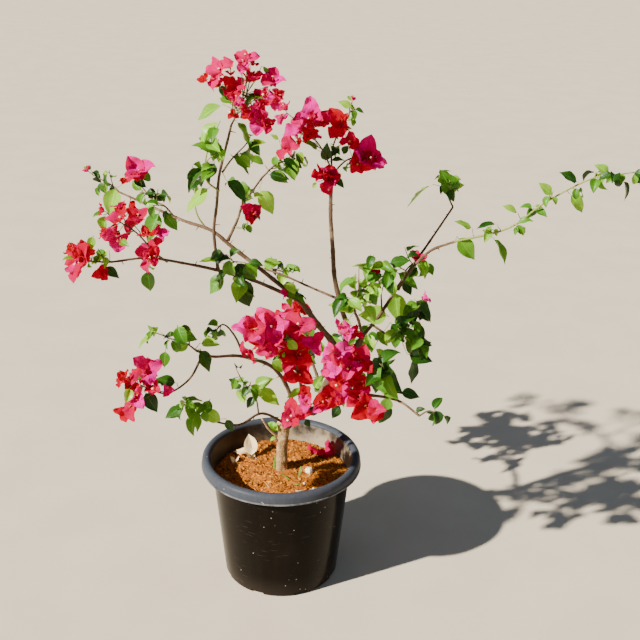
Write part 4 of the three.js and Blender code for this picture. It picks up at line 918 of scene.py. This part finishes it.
# the same growth carried on to finer twigs, which may reach a little further between the neighbours
def growFiner(name, mass, stem, fits):
    grownShoots, leaves, blooms = growMass(mass, stem, fits)
    draw = stream(mass["fill"])
    noted = [notedLeaf(mass, stem, *row) for row in notedLeaves.get(name, ())]
    leaves += noted
    blooms += [notedBloom(mass, stem, *row, draw) for row in notedBlooms.get(name, ())]
    shoots, twigs, used = list(grownShoots), [leaf["twig"] for leaf in noted], set()
    flowering = mass["blooms"] > fineHabit["flowering"]
    nearest = clear["fineBloomNeighbour" if flowering else "fineNeighbour"]
    room = lambda points, margin: fits(points, margin, nearest)
    phase = 360 * draw()
    for i in range(int(0.5 + mass["full"] * (1 + fineHabit["shoots"] * mass["shoots"]))):
        start, along = seatOn(stem, within((mass["bare"], 1), draw()))
        heading = turned(along, within(shootHabit["spread"], draw()), phase + shootHabit["turn"] * i)
        shoot = shootFrom(start, heading, mass["reach"] * within(shootHabit["long"], draw()))
        if room(shootSamples(shoot), clear["fineTwig"]):
            shoots.append(shoot)
    count = max(1, round(fineHabit["bloomTwigs" if flowering else "twigs"] * mass["full"]))
    for n, path in enumerate(shoots + [stem[len(stem) // 3:]]):
        phase = 360 * draw()
        for i in range(count):
            start, along = seatOn(path, within(fineHabit["share"], (i + draw()) / count))
            turn = phase + shootHabit["turn"] * i + 60 * draw()
            heading = turned(along, within(fineHabit["spread"], draw()), turn)
            long = max(fineHabit["least"], mass["reach"] * within(fineHabit["long"], draw()))
            twig = [start, start + heading * long + up * fineHabit["lift"] * long]
            blooming = flowering and draw() < fineHabit["bloomShare"]
            before = len(leaves) + len(blooms)
            if not room([seatOn(twig, share)[0] for share in (0.5, 1)], clear["fineTwig"]):
                continue
            if blooming:
                addFineBloom(mass, twig, heading, blooms, room, draw)
            else:
                addFineLeaves(mass, twig, turn, leaves, blooms, room, draw)
            if len(leaves) + len(blooms) > before:
                twigs.append(twig)
                used.add(n)
    if mass["tipBloom"]:
        end, along = seatOn(stem, 1)
        axis = unit(turned(along, 20, 360 * draw()) + np.array((-0.2, -0.6, 0.5)))
        blooms.append(bloomOf(end, axis, fineHabit["stalk"], 120 * draw(), mass["tipBloom"]))
    extra = [shoot for n, shoot in enumerate(shoots) if n >= len(grownShoots) and n in used]
    return grownShoots + extra, leaves, blooms, twigs


def pick(*pieces):
    if bpy.context.object and bpy.context.object.mode != "OBJECT":
        bpy.ops.object.mode_set(mode="OBJECT")
    bpy.ops.object.select_all(action="DESELECT")
    for piece in pieces:
        piece.select_set(True)
        bpy.context.view_layer.objects.active = pieces[0]


# every piece rides on the one body, and some stand for nodes of the frame
def settle(piece, slot, *nodes):
    if nodes:
        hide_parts(*nodes)
    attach(piece, "root")


# points, faces, uvs, tones and slots of many small shapes that become one piece
class Heap:
    def __init__(self):
        self.points, self.faces, self.uvs, self.tones, self.slots = [], [], [], [], []

    # a tone is one number or one for each point, and a slot one number or one for each face
    def add(self, points, faces, tone, uvs=None, slot=0):
        start = len(self.points)
        self.points += [p * mm for p in points]
        self.faces += [tuple(start + i for i in face) for face in faces]
        self.uvs += uvs or [(0.5, 0.5)] * len(points)
        self.tones += tone if isinstance(tone, list) else [tone] * len(points)
        self.slots += slot if isinstance(slot, list) else [slot] * len(faces)

    def piece(self, name, *looks, smooth=True):
        mesh = bpy.data.meshes.new(name)
        mesh.from_pydata([tuple(p) for p in self.points], [], self.faces)
        for look in looks:
            mesh.materials.append(paints[look])
        mesh.polygons.foreach_set("material_index", self.slots)
        mesh.polygons.foreach_set("use_smooth", [smooth] * len(self.faces))
        corners = np.empty(len(mesh.loops), int)
        mesh.loops.foreach_get("vertex_index", corners)
        mesh.uv_layers.new(name="UVMap").data.foreach_set("uv", np.array(self.uvs, float)[corners].ravel())
        mesh.attributes.new("tone", "FLOAT", "POINT").data.foreach_set("value", np.array(self.tones, float))
        mesh.update()
        return addObject(name, mesh)


def circle(sides):
    angles = [2 * math.pi * k / sides for k in range(sides)]
    return [(math.cos(angle), math.sin(angle)) for angle in angles]


# faces between rings of as many points, and those that close a ring to a pole
def ringFaces(rings, sides, first=0, inward=False):
    faces = []
    for i in range(rings - 1):
        for k in range(sides):
            a, b = first + i * sides + k, first + i * sides + (k + 1) % sides
            faces.append((a, a + sides, b + sides, b) if inward else (a, b, b + sides, a + sides))
    return faces


def poleFaces(pole, ring, sides, inward=False):
    pairs = [(ring + k, ring + (k + 1) % sides) for k in range(sides)]
    return [(pole, b, a) if inward else (pole, a, b) for a, b in pairs]


# a swept tube: a frame that doesn't twist is carried along the centres; shape(i, centre, out) is its radius
def sweep(centres, shape, sides):
    points, uvs = [], []
    last = len(centres) - 1
    side = across(unit(centres[1] - centres[0]))
    along = 0.0
    for i, centre in enumerate(centres):
        heading = unit(centres[min(i + 1, last)] - centres[max(i - 1, 0)])
        side = squared(side, heading)
        other = np.cross(heading, side)
        along += np.linalg.norm(centre - centres[i - 1]) if i else 0
        for k, (c, s) in enumerate(circle(sides)):
            out = side * c + other * s
            points.append(centre + out * shape(i, centre, out))
            uvs.append((abs(2 * k / sides - 1), along / 20))
    faces = ringFaces(last + 1, sides) + poleFaces(len(points), 0, sides, True)
    faces += poleFaces(len(points) + 1, last * sides, sides)
    return points + [centres[0], centres[last]], faces, uvs + [(0.5, 0), (0.5, last)]


def evenly(route, step):
    fine = np.array(curveThrough(route, 24))
    lengths = np.concatenate([[0], np.cumsum(np.linalg.norm(np.diff(fine, axis=0), axis=1))])
    wanted = np.linspace(0, lengths[-1], max(3, int(lengths[-1] / step) + 1))
    return [np.array([np.interp(w, lengths, fine[:, k]) for k in range(3)]) for w in wanted], wanted


barkRelief = {"ringStep": 3.0, "trunkSides": 36, "limbSides": 16, "collar": 0.4, "collarLong": 1.4,
              "nodeFrom": 14, "nodeEvery": 38, "nodeSwell": 0.13, "nodeLong": 4.0, "ridge": 0.07,
              "lump": 0.1, "sway": 0.25, "lobes": 3, "lobesTurn": 0.9}


# the trunk or a bough: tapered, with a collar where it leaves its parent, swollen nodes, ridges and lumps
def limbPiece(name, limb, isTrunk=False):
    centres, lengths = evenly(limb["route"], barkRelief["ringStep"])
    total, nodeFrom, nodeEvery = lengths[-1], barkRelief["nodeFrom"], barkRelief["nodeEvery"]
    draw = stream(len(name) * 31 + int(total))
    nodes = np.arange(nodeFrom + 12 * draw(), total, nodeEvery)
    shifts = [8 * draw() for at in np.arange(nodeFrom, total + 60, nodeEvery)]
    nodes = nodes + shifts[0]
    bends = [draw() - 0.5 for centre in centres]

    def radius(i, centre, out):
        s = lengths[i]
        base = within((limb["foot"], limb["tip"]), s / total)
        if isTrunk:
            turn = math.atan2(out[1], out[0])
            lobes = 0.55 + 0.45 * math.cos(barkRelief["lobes"] * turn + barkRelief["lobesTurn"])
            base += trunk["flare"] * lobes * math.exp((trunkFoot - centre[2]) / trunk["flareLong"])
            base += trunk["knob"] * math.exp(-((centre[2] - trunk["knobAt"]) / trunk["knobLong"]) ** 2)
        else:
            base *= 1 + barkRelief["collar"] * math.exp(-s / (barkRelief["collarLong"] * limb["foot"]))
        for at in nodes:
            base *= 1 + barkRelief["nodeSwell"] * math.exp(-((s - at) / barkRelief["nodeLong"]) ** 2)
        spot = Vector(out) * 1.6 + Vector((0, 0, s / 26 + len(name)))
        ridge = noise.noise(spot * 1.5) * barkRelief["ridge"]
        lump = noise.noise(Vector(centre) * 0.035 + Vector(out) * 0.5) * barkRelief["lump"]
        return base * (1 + ridge + lump)

    for i in range(1, len(centres) - 1):
        side = across(unit(centres[i + 1] - centres[i - 1]))
        centres[i] = centres[i] + side * bends[i] * barkRelief["sway"]
    sides = barkRelief["trunkSides" if isTrunk else "limbSides"]
    points, faces, uvs = sweep(centres, radius, sides)
    heap = Heap()
    cutEnd = [0] * (len(faces) - sides) + [1] * sides
    heap.add(points, faces, len(name) * 0.37 % 1, uvs, cutEnd)
    piece = heap.piece(name, "bark" if isTrunk else "bough", "cut")
    settle(piece, "bark", name.removesuffix("_bark"))
    return centres


# Blades: the outline as (place along, half width) in shares of the length, then how the blade folds along its
# midrib, bends along its length (degrees), waves at its edges and creases, and its columns of points
leafShape = {"widths": ((0, 0.01), (0.1, 0.012), (0.13, 0.07), (0.18, 0.16), (0.25, 0.23), (0.35, 0.275),
                        (0.46, 0.28), (0.57, 0.25), (0.68, 0.195), (0.79, 0.13), (0.89, 0.062), (1, 0)),
             "fold": (0.25, 0.85), "bend": (20, 105), "wave": 0.025, "crease": 0.03, "columns": 5}
bractShape = {"widths": ((0, 0.05), (0.05, 0.19), (0.13, 0.3), (0.24, 0.37), (0.37, 0.4), (0.5, 0.39),
                         (0.63, 0.345), (0.75, 0.265), (0.86, 0.165), (0.94, 0.075), (1, 0)),
              "fold": (-0.65, 0.1), "bend": (-110, 25), "wave": 0.09, "crease": 0.2, "columns": 7}
notedShape = {**leafShape, "fold": (0.1, 0.5), "bend": (8, 40)}
# a dry leaf on the soil, half folded and crumpled
dryShape = {**leafShape, "fold": (0.6, 0.9), "bend": (20, 50), "wave": 0.06, "crease": 0.14}


# one blade as rows across its length, closed to a point at the tip
def addBlade(heap, blade, shape, slot, draw):
    root, along, normal, long = blade["root"], blade["along"], blade["normal"], blade["long"]
    side = np.cross(normal, along)
    twist, lean = (draw() - 0.5) * 0.6, (draw() - 0.5) * 0.12
    bend = math.radians(within(shape["bend"], draw())) or 0.01
    fold = within(shape["fold"], draw())
    phase, wave, beat = 6.28 * draw(), shape["wave"] * (0.5 + draw()), 8 + 7 * draw()
    width, cup = 0.92 + 0.16 * draw(), draw() - 0.4
    start = Vector((draw() * 50, draw() * 50, draw() * 50))
    columns, rows = shape["columns"], len(shape["widths"]) - 1
    points, uvs, faces = [], [], []
    for a, half in shape["widths"]:
        spine = (along * math.sin(bend * a) - normal * (1 - math.cos(bend * a))) / bend + side * lean * a * a
        facing = normal * math.cos(bend * a) + along * math.sin(bend * a)
        beside = side * math.cos(twist * a) + facing * math.sin(twist * a)
        facing = facing * math.cos(twist * a) - side * math.sin(twist * a)
        for c in range(columns if half else 0):
            share = 2 * c / (columns - 1) - 1
            b = half * share * width
            edge = wave * math.sin(beat * a + phase + (2.1 if share > 0 else 0)) * abs(share) ** 1.5
            crease = noise.noise(start + Vector((share * 1.1, a * 3.2, 0))) * shape["crease"]
            rise = fold * abs(b) - cup * b * b + edge * min(1, half * 5) + crease * min(1, half * 5)
            points.append(root + (spine + beside * b + facing * rise) * long)
            uvs.append((0.5 + share / 2, a))
    points.append(root + spine * long)
    uvs.append((0.5, 1))
    tip = len(points) - 1
    for i in range(rows):
        for a in range(i * columns, (i + 1) * columns - 1):
            faces.append((a, a + 1, a + 1 + columns, a + columns) if i < rows - 1 else (a, a + 1, tip))
    heap.add(points, faces, draw(), uvs, slot)


# a twig through a path; a straight one is drawn in short steps, bent a little where a bend is given
def addTube(heap, path, foot, tip, sides, tone, slot=0, bend=0.0, draw=None):
    centres, steps = list(path), max(2, int(np.linalg.norm(path[-1] - path[0]) / 9))
    if len(path) == 2 and bend:
        path = [path[0], (path[0] + path[1]) / 2 + strayed(draw) * bend, path[1]]
        centres = [curvePoint(path, i / steps) for i in range(steps + 1)]
    elif len(path) == 2:
        centres = [path[0] + (path[1] - path[0]) * i / steps for i in range(steps + 1)]
    last = len(centres) - 1
    points, faces, uvs = sweep(centres, lambda i, centre, out: within((foot, tip), i / last), sides)
    heap.add(points, faces, tone, uvs, slot)


flowerHabit = {"share": 0.55, "long": (11, 17), "radius": 0.75, "mouth": 2.6, "lean": 18, "budShare": 0.55,
               "budLong": 0.7, "budSides": 5, "starSides": 10}


# a narrow tube from the heart of a blossom, open as a small star or still closed as a bud
def addFlower(heap, bloom, angle, draw):
    lean = turned(bloom["axis"], flowerHabit["lean"] + 10 * draw(), angle)
    bud = draw() < flowerHabit["budShare"]
    long = within(flowerHabit["long"], draw()) * (flowerHabit["budLong"] if bud else 1)
    first, other = across(lean), np.cross(lean, across(lean))
    radius, sides = flowerHabit["radius"], flowerHabit["budSides" if bud else "starSides"]
    rings = [(0, radius * 1.25), (0.3, radius * 0.85), (0.7, radius), (0.92, radius * 1.5),
             (1, radius * 0.8 if bud else flowerHabit["mouth"])]
    points = []
    for share, size in rings:
        for k, (c, s) in enumerate(circle(sides)):
            star = size * (0.5 if not bud and share == 1 and k % 2 else 1)
            points.append(bloom["centre"] + lean * share * long + (first * c + other * s) * star)
    points.append(bloom["centre"] + lean * long * (1.04 if bud else 0.9))
    top = (len(rings) - 1) * sides
    faces = ringFaces(len(rings), sides) + poleFaces(len(points) - 1, top, sides)
    mouth = [0] * (len(faces) - 2 * sides) + [0 if bud else 1] * 2 * sides
    heap.add(points, faces, draw(), None, mouth)


def pickTone(shares, value):
    for i, share in enumerate(shares):
        if value < share:
            return i
        value -= share
    return len(shares) - 1


limbCentres = {"trunk": limbPiece("trunk_bark", trunk, True)}
for name, limb in limbs.items():
    limbCentres[name] = limbPiece(name + "_bark", limb)
print("trunk and boughs swept:", len(limbCentres))

leafHeap, bractHeap, twigHeap, flowerHeap, thornHeap = Heap(), Heap(), Heap(), Heap(), Heap()
greenStems = ("long_shoot_foliage", "centre_single_blossom", "young_shoot", "top_foliage")
redShares, sprays, smallest = (0.42, 0.4, 0.18), 40, 0.6
counts = {"leaves": 0, "blossoms": 0, "twigs": 0}
for name, mass in masses.items():
    stem = curveThrough(mass["route"], 2)
    shoots, leaves, blooms, twigs = growFiner(name, mass, stem, spaceTest(name))
    draw = stream(mass["seed"] * 7 + mass["fill"])
    bark, size = int(name in greenStems), mass["blade"]
    addTube(twigHeap, curveThrough(mass["route"], 6), mass["foot"], 1.0, 6, draw(), bark)
    for shoot in shoots:
        addTube(twigHeap, shoot, 1.15, 0.7, 5, draw(), bark, 5, draw)
    for twig in twigs:
        addTube(twigHeap, twig, 0.7, 0.45, 4, draw(), 1, 3, draw)
    sprayGreens = [pickTone(mass["greens"], draw()) for i in range(sprays)]
    for leaf in leaves:
        green = sprayGreens[int(draw() * sprays)]
        if "green" in leaf:
            addBlade(leafHeap, leaf, notedShape, leaf["green"], draw)
        else:
            addBlade(leafHeap, {**leaf, "long": leaf["long"] * max(smallest, size)}, leafShape, green, draw)
    for bloom in blooms:
        addTube(twigHeap, [bloom["foot"], bloom["centre"]], 0.55, 0.6, 4, draw(), 1)
        red = bloom.get("red", pickTone(redShares, draw()))
        for bract in bloom["bracts"]:
            long = bract["long"] * (1 if "red" in bloom else size)
            addBlade(bractHeap, {**bract, "long": long}, bractShape, red, draw)
        for k in range(3):
            if draw() < flowerHabit["share"]:
                addFlower(flowerHeap, bloom, 120 * k + 40 * draw(), draw)
    for kind, grown in (("leaves", leaves), ("blossoms", blooms), ("twigs", twigs)):
        counts[kind] += len(grown)
# sprouts and a bare dry twig low on the trunk, and thorns along the boughs
sprouts = {"at": ((-9, 0, 296, 24), (-10, 3, 303, 20), (-8, -4, 300, 16), (-9, 1, 281, 15)),
           "lean": (-0.7, -0.45, 0.5), "facing": (-0.3, -0.6, 0.8),
           "bare": ((-8, 2, 284), (-24, -8, 306), (-36, -24, 338)), "thorn": (5, 10), "thornEvery": 46}
draw = stream(17)
for *foot, long in sprouts["at"]:
    out = unit(np.array(sprouts["lean"]) + strayed(draw, 0.5, 0.5, 0.3))
    sprout = {"root": np.array(foot, float), "along": out, "long": long,
              "normal": squared(np.array(sprouts["facing"]), out)}
    addBlade(leafHeap, sprout, leafShape, 0, draw)
addTube(twigHeap, curveThrough(sprouts["bare"], 5), 2.1, 1.5, 7, 0.9, 2)
for name, limb in limbs.items():
    centres = limbCentres[name]
    count = int(len(centres) * barkRelief["ringStep"] / sprouts["thornEvery"])
    for i in range(count):
        share = (i + 0.35 + 0.5 * draw()) / count
        at, along = seatOn(centres, min(0.98, share))
        base = within((limb["foot"], limb["tip"]), share)
        out = turned(along, 78 + 14 * draw(), 360 * draw())
        tip = at + out * (base + within(sprouts["thorn"], draw()))
        path = [at + out * base * 0.7, at + (tip - at) * 0.8, tip - along * 0.8]
        addTube(thornHeap, path, 1.0, 0.15, 5, draw())
settle(thornHeap.piece("thorns", "bough"), "bark")
settle(leafHeap.piece("leaves", *["leaf_" + name for name in leafColours]), "foliage", *masses)
settle(bractHeap.piece("bracts", *["bract_" + name for name in bractColours]), "blossom")
settle(twigHeap.piece("twigs", "twig", "young", "cut"), "bark")
settle(flowerHeap.piece("small_flowers", "tube", "star"), "blossom")
print("grown:", counts)

pot = {"height": 250, "wall": 2.5, "floor": 3, "foot": 109, "slope": 0.1, "footEdge": 6, "rim": 150,
       "rimWidth": 17, "rimDrop": 20, "flange": 2.2, "steps": 160, "smooth": 32}
notches = {"count": 8, "width": 26, "height": 7, "depth": 16, "ring": 104}
holes = {"count": 5, "radius": 7, "ring": 62, "depth": 0.02, "sides": 24}


def arcPoints(x, z, radius, start, end, steps):
    angles = [math.radians(start + (end - start) * i / steps) for i in range(steps + 1)]
    return [(x + radius * math.cos(a), z + radius * math.sin(a)) for a in angles]


# the half section of the pot: under the foot, up the outside, over the rolled rim and down the inside
def potSection():
    roll, rim, wall, edge = pot["rimWidth"] / 2, pot["rim"], pot["wall"], pot["footEdge"]
    rollAt, rollHeight, lip = rim - roll, pot["height"] - roll, pot["height"] - pot["rimDrop"]
    flange = rim + pot["flange"] * 0.6
    radiusAt = lambda z: pot["foot"] + pot["slope"] * z
    section = [(0, 0), (60, 0), (radiusAt(edge) - edge - 4, 0)]
    section += arcPoints(radiusAt(edge) - edge, edge, edge, -90, 0, 6)
    section += [(radiusAt(z), z) for z in range(20, 215, 15)]
    section += arcPoints(rollAt, rollHeight, roll - wall, 180, 0, 12)
    section += [(rim - wall, lip + 3), (rim - wall + 0.4, lip), (flange, lip), (flange, lip + 2.2)]
    section += [(rim, lip + 3)] + arcPoints(rollAt, rollHeight, roll, 0, 180, 18)
    section += [(radiusAt(z) - wall, z) for z in range(226, 20, -15)]
    section += [(radiusAt(8) - wall, 8), (radiusAt(4) - wall - 3, pot["floor"])]
    return section + [(60, pot["floor"]), (0, pot["floor"])]


# the cutter just added, moved to its place on a ring
def placedCutter(ring, angle, size=(1, 1, 1)):
    cutter = bpy.context.object
    for step in (Matrix.Diagonal((*size, 1)), Matrix.Translation((ring * mm, 0, 0)),
                 Matrix.Rotation(angle, 4, "Z")):
        cutter.data.transform(step)
    return cutter


# the section spun round the upright axis, with its notches and drain holes cut
def potPiece():
    section = potSection()
    mesh = bpy.data.meshes.new("pot_body")
    edges = [(i, i + 1) for i in range(len(section) - 1)]
    mesh.from_pydata([(x * mm, 0, z * mm) for x, z in section], edges, [])
    body = addObject("pot_body", mesh)
    pick(body)
    bpy.ops.object.mode_set(mode="EDIT")
    bpy.ops.mesh.select_all(action="SELECT")
    bpy.ops.mesh.spin(steps=pot["steps"], angle=2 * math.pi, center=(0, 0, 0), axis=(0, 0, 1))
    bpy.ops.mesh.select_all(action="SELECT")
    bpy.ops.mesh.remove_doubles(threshold=0.00002)
    bpy.ops.mesh.normals_make_consistent(inside=False)
    pick()
    cutters = []
    for i in range(notches["count"]):
        bpy.ops.mesh.primitive_cube_add(size=1)
        size = (notches["depth"] * mm, notches["width"] * mm, 2 * notches["height"] * mm)
        angle = 2 * math.pi * (i + 0.5) / notches["count"]
        cutters.append(placedCutter(notches["ring"], angle, size))
    for i in range(holes["count"]):
        bpy.ops.mesh.primitive_cylinder_add(vertices=holes["sides"], radius=holes["radius"] * mm,
                                            depth=holes["depth"])
        cutters.append(placedCutter(holes["ring"], 2 * math.pi * i / holes["count"]))
    pick(*cutters)
    bpy.ops.object.join()
    pick(body)
    cut = body.modifiers.new("cut", "BOOLEAN")
    cut.operation, cut.solver, cut.object = "DIFFERENCE", "EXACT", cutters[0]
    bpy.ops.object.modifier_apply(modifier=cut.name)
    bpy.data.objects.remove(cutters[0])
    bpy.ops.object.shade_smooth_by_angle(angle=math.radians(pot["smooth"]))
    body.data.materials.clear()
    for look in ("plastic", "wall"):
        body.data.materials.append(paints[look])
    for face in body.data.polygons:
        at, facing = face.center, face.normal
        inward = facing.x * at.x + facing.y * at.y < -0.0001
        face.material_index = int(at.z > 0.0035 and at.z < 0.243 and inward)
    return body


settle(potPiece(), "pot", "pot")
print("pot spun and cut")

soil = {"edge": 207, "shoulder": 3.5, "shoulderAt": 0.6, "rise": 6, "patch": 26, "rings": 54, "spokes": 150,
        "gap": 0.3, "foot": 3.3, "lumpEvery": 0.045, "lump": 4.0, "crumbEvery": 0.16, "crumb": 1.5,
        "shadeBelow": 0.16, "crumbs": 3400, "fibres": 420, "seed": 5, "trunkClear": 17}


def insideAt(z, gap):
    return pot["foot"] + pot["slope"] * z - pot["wall"] - gap


def soilHeight(x, y):
    wall = insideAt(soil["edge"], soil["gap"])
    r, shoulder = math.hypot(x, y), soil["shoulderAt"] * wall
    if r > shoulder:
        z = soil["edge"] + soil["shoulder"] * (wall - r) / (wall - shoulder)
    else:
        share = min(1, (shoulder - r) / (shoulder - soil["patch"]))
        z = soil["edge"] + within((soil["shoulder"], soil["rise"]), share)
    level = min(1, max(0, (r - 14) / 20))
    return z + (noise.noise(Vector((x, y, 3)) * soil["lumpEvery"]) * soil["lump"]
                + noise.noise(Vector((x, y, 9)) * soil["crumbEvery"]) * soil["crumb"]) * level


def onSoil(x, y, lift=0.0):
    return np.array((x, y, soilHeight(x, y) + lift))


# a chance place on the bed: its distance and direction from the middle, and x and y
def chancePlace(gap, draw):
    r, angle = insideAt(soil["edge"], gap) * math.sqrt(draw()), 2 * math.pi * draw()
    return r, angle, r * math.cos(angle), r * math.sin(angle)


def soilPiece():
    heap, draw, spokes = Heap(), stream(soil["seed"]), soil["spokes"]
    wall = insideAt(soil["edge"], soil["gap"])
    points = [onSoil(0, 0)]
    for i in range(1, soil["rings"] + 1):
        r = wall * i / soil["rings"]
        points += [onSoil(r * c, r * s) for c, s in circle(spokes)]
    for z in (120, soil["foot"]):
        r = insideAt(z, soil["gap"])
        points += [np.array((r * c, r * s, z)) for c, s in circle(spokes)]
    points.append(np.array((0, 0, soil["foot"])))
    rings = soil["rings"] + 2
    faces = ringFaces(rings, spokes, 1, True) + poleFaces(0, 1, spokes)
    faces += poleFaces(len(points) - 1, 1 + (rings - 1) * spokes, spokes, True)
    heap.add(points, faces, [0.25 + 0.3 * draw() for point in points])
    bed = heap.piece("soil_bed", "soil", "soilShade")
    # faces low on the bed take the near-black soil: painted shade under the pot's floor
    for face in bed.data.polygons:
        face.material_index = int(face.center.z < soil["shadeBelow"])
    return bed


# crumbs and chips of coir: small stretched lumps, sunk a little in the bed
def crumbPiece():
    heap, draw = Heap(), stream(soil["seed"] + 1)
    corners = [(0, 0, 1), (1, 0, 0), (0, 1, 0), (-1, 0, 0), (0, -1, 0), (0, 0, -1)]
    sides = poleFaces(0, 1, 4) + [(5, 2, 1), (5, 3, 2), (5, 4, 3), (5, 1, 4)]
    for i in range(soil["crumbs"]):
        r, angle, x, y = chancePlace(2.5, draw)
        size = 0.9 + 2.6 * draw() ** 3
        if r < soil["trunkClear"]:
            continue
        turn = Matrix.Rotation(6.28 * draw(), 3, "Z") @ Matrix.Rotation(draw() - 0.5, 3, "X")
        scale = (size * (1 + 1.2 * draw()), size * (0.6 + 0.5 * draw()), size * (0.5 + 0.4 * draw()))
        at, lump = Vector(onSoil(x, y, scale[2] * 0.25)), []
        for corner in corners:
            lump.append(at + turn @ Vector([c * s * (0.75 + 0.5 * draw()) for c, s in zip(corner, scale)]))
        heap.add([np.array(point) for point in lump], sides, draw())
    return heap.piece("soil_crumbs", "soil", smooth=False)


# loose fibres and slivers lying on the bed
def fibrePiece():
    heap, draw = Heap(), stream(soil["seed"] + 2)
    for i in range(soil["fibres"]):
        r, angle, x, y = chancePlace(8, draw)
        if r < soil["trunkClear"]:
            continue
        heading = np.array((math.cos(angle * 7), math.sin(angle * 7), 0.5 * draw()))
        long, foot = 4 + 9 * draw(), onSoil(x, y, 0.4)
        path = [foot, foot + heading * long / 2 + up * (0.8 + 1.6 * draw()), foot + heading * long]
        addTube(heap, path, 0.28 + 0.3 * draw(), 0.2, 3, 0.4 + 0.6 * draw())
    return heap.piece("soil_fibres", "soil", smooth=False)


# what lies on the soil: (x, y) on the bed, length, turn about the upright, tilt up from level
dryLeaves = (((-50, 42), 52, 156, 20), ((-60, 46), 50, 100, 56), ((-94, 22), 30, 80, 12))
fallenBracts = (((72, 62), 38, 35, 14), ((76, 64), 34, 150, 30), ((78, 68), 30, 270, 20))
pebbles = (((53, -5), 8.6), ((44, -46), 2.8), ((62, -60), 2.4))
grassBlades = (((-11, 6), 24, 110, 68), ((-2, -16), 38, 305, 8), ((22, -52), 18, 340, 20),
               ((34, -22), 24, 80, 34), ((-14, -2), 16, 95, 60))
sticks = (((36, -7), 20, 70, 12), ((28, -72), 22, 10, 3), ((-20, -60), 14, 120, 4))


def laid(at, long, turn, tilt, lift=1.0):
    t, s = math.radians(turn), math.radians(tilt)
    heading = np.array((math.cos(t) * math.cos(s), math.sin(t) * math.cos(s), math.sin(s)))
    return {"root": onSoil(*at, lift), "along": heading, "normal": squared(up, heading), "long": long}


# a rounded lump, a little flattened
def addPebble(heap, at, size, draw):
    centre, points, sides, rings = onSoil(*at, size * 0.45), [], 9, 5
    for i in range(1, rings):
        theta = math.pi * i / rings
        for c, s in circle(sides):
            out = np.array((math.sin(theta) * c, math.sin(theta) * s, 0.75 * math.cos(theta)))
            points.append(centre + out * size * (0.85 + 0.3 * draw()))
    faces = ringFaces(rings - 1, sides, 0, True) + poleFaces(len(points), 0, sides)
    faces += poleFaces(len(points) + 1, (rings - 2) * sides, sides, True)
    heap.add(points + [centre + up * size * 0.8, centre - up * size * 0.7], faces, draw())


# a narrow arching blade with a raised midrib
def addGrass(heap, blade, draw):
    side, long = np.cross(blade["normal"], blade["along"]), blade["long"]
    points, faces = [], []
    for i in range(7):
        a = i / 6
        centre = blade["root"] + blade["along"] * a * long - up * long * 0.25 * a * a + up * 0.25 * long * a
        half = 1.7 * math.sin(math.pi * (0.12 + 0.86 * a)) + 0.1
        points += [centre - side * half, centre + blade["normal"] * 0.3, centre + side * half]
        if i:
            n = len(points) - 6
            faces += [(n, n + 1, n + 4, n + 3), (n + 1, n + 2, n + 5, n + 4)]
    heap.add(points, faces, draw())


def litterPieces():
    draw = stream(91)
    dryHeap, fallenHeap, pebbleHeap, grassHeap, stickHeap = Heap(), Heap(), Heap(), Heap(), Heap()
    for row in dryLeaves:
        addBlade(dryHeap, laid(*row), dryShape, 0, draw)
    for row in fallenBracts:
        addBlade(fallenHeap, laid(*row), bractShape, 0, draw)
    for row in pebbles:
        addPebble(pebbleHeap, *row, draw)
    for row in grassBlades:
        addGrass(grassHeap, laid(*row, 0.2), draw)
    for row in sticks:
        stick = laid(*row, 0.8)
        path = [stick["root"], stick["root"] + stick["along"] * stick["long"]]
        addTube(stickHeap, path, 0.9, 0.6, 6, draw(), 0, 2, draw)
    settle(dryHeap.piece("dry_leaves", "dry"), "foliage")
    settle(fallenHeap.piece("fallen_bracts", "bract_crimson"), "blossom")
    settle(pebbleHeap.piece("pebbles", "pebble", smooth=False), "soil")
    settle(grassHeap.piece("grass_blades", "grass"), "foliage")
    settle(stickHeap.piece("small_sticks", "cut"), "bark")


settle(soilPiece(), "soil", "soil")
settle(crumbPiece(), "soil")
settle(fibrePiece(), "soil")
litterPieces()
print("soil laid")

floorHalf = 30.0
pick()
bpy.ops.mesh.primitive_plane_add(size=2 * floorHalf, location=(0, 0, 0))
ground = bpy.context.object
ground.name = "ground"
ground.data.materials.append(paints["floor"])
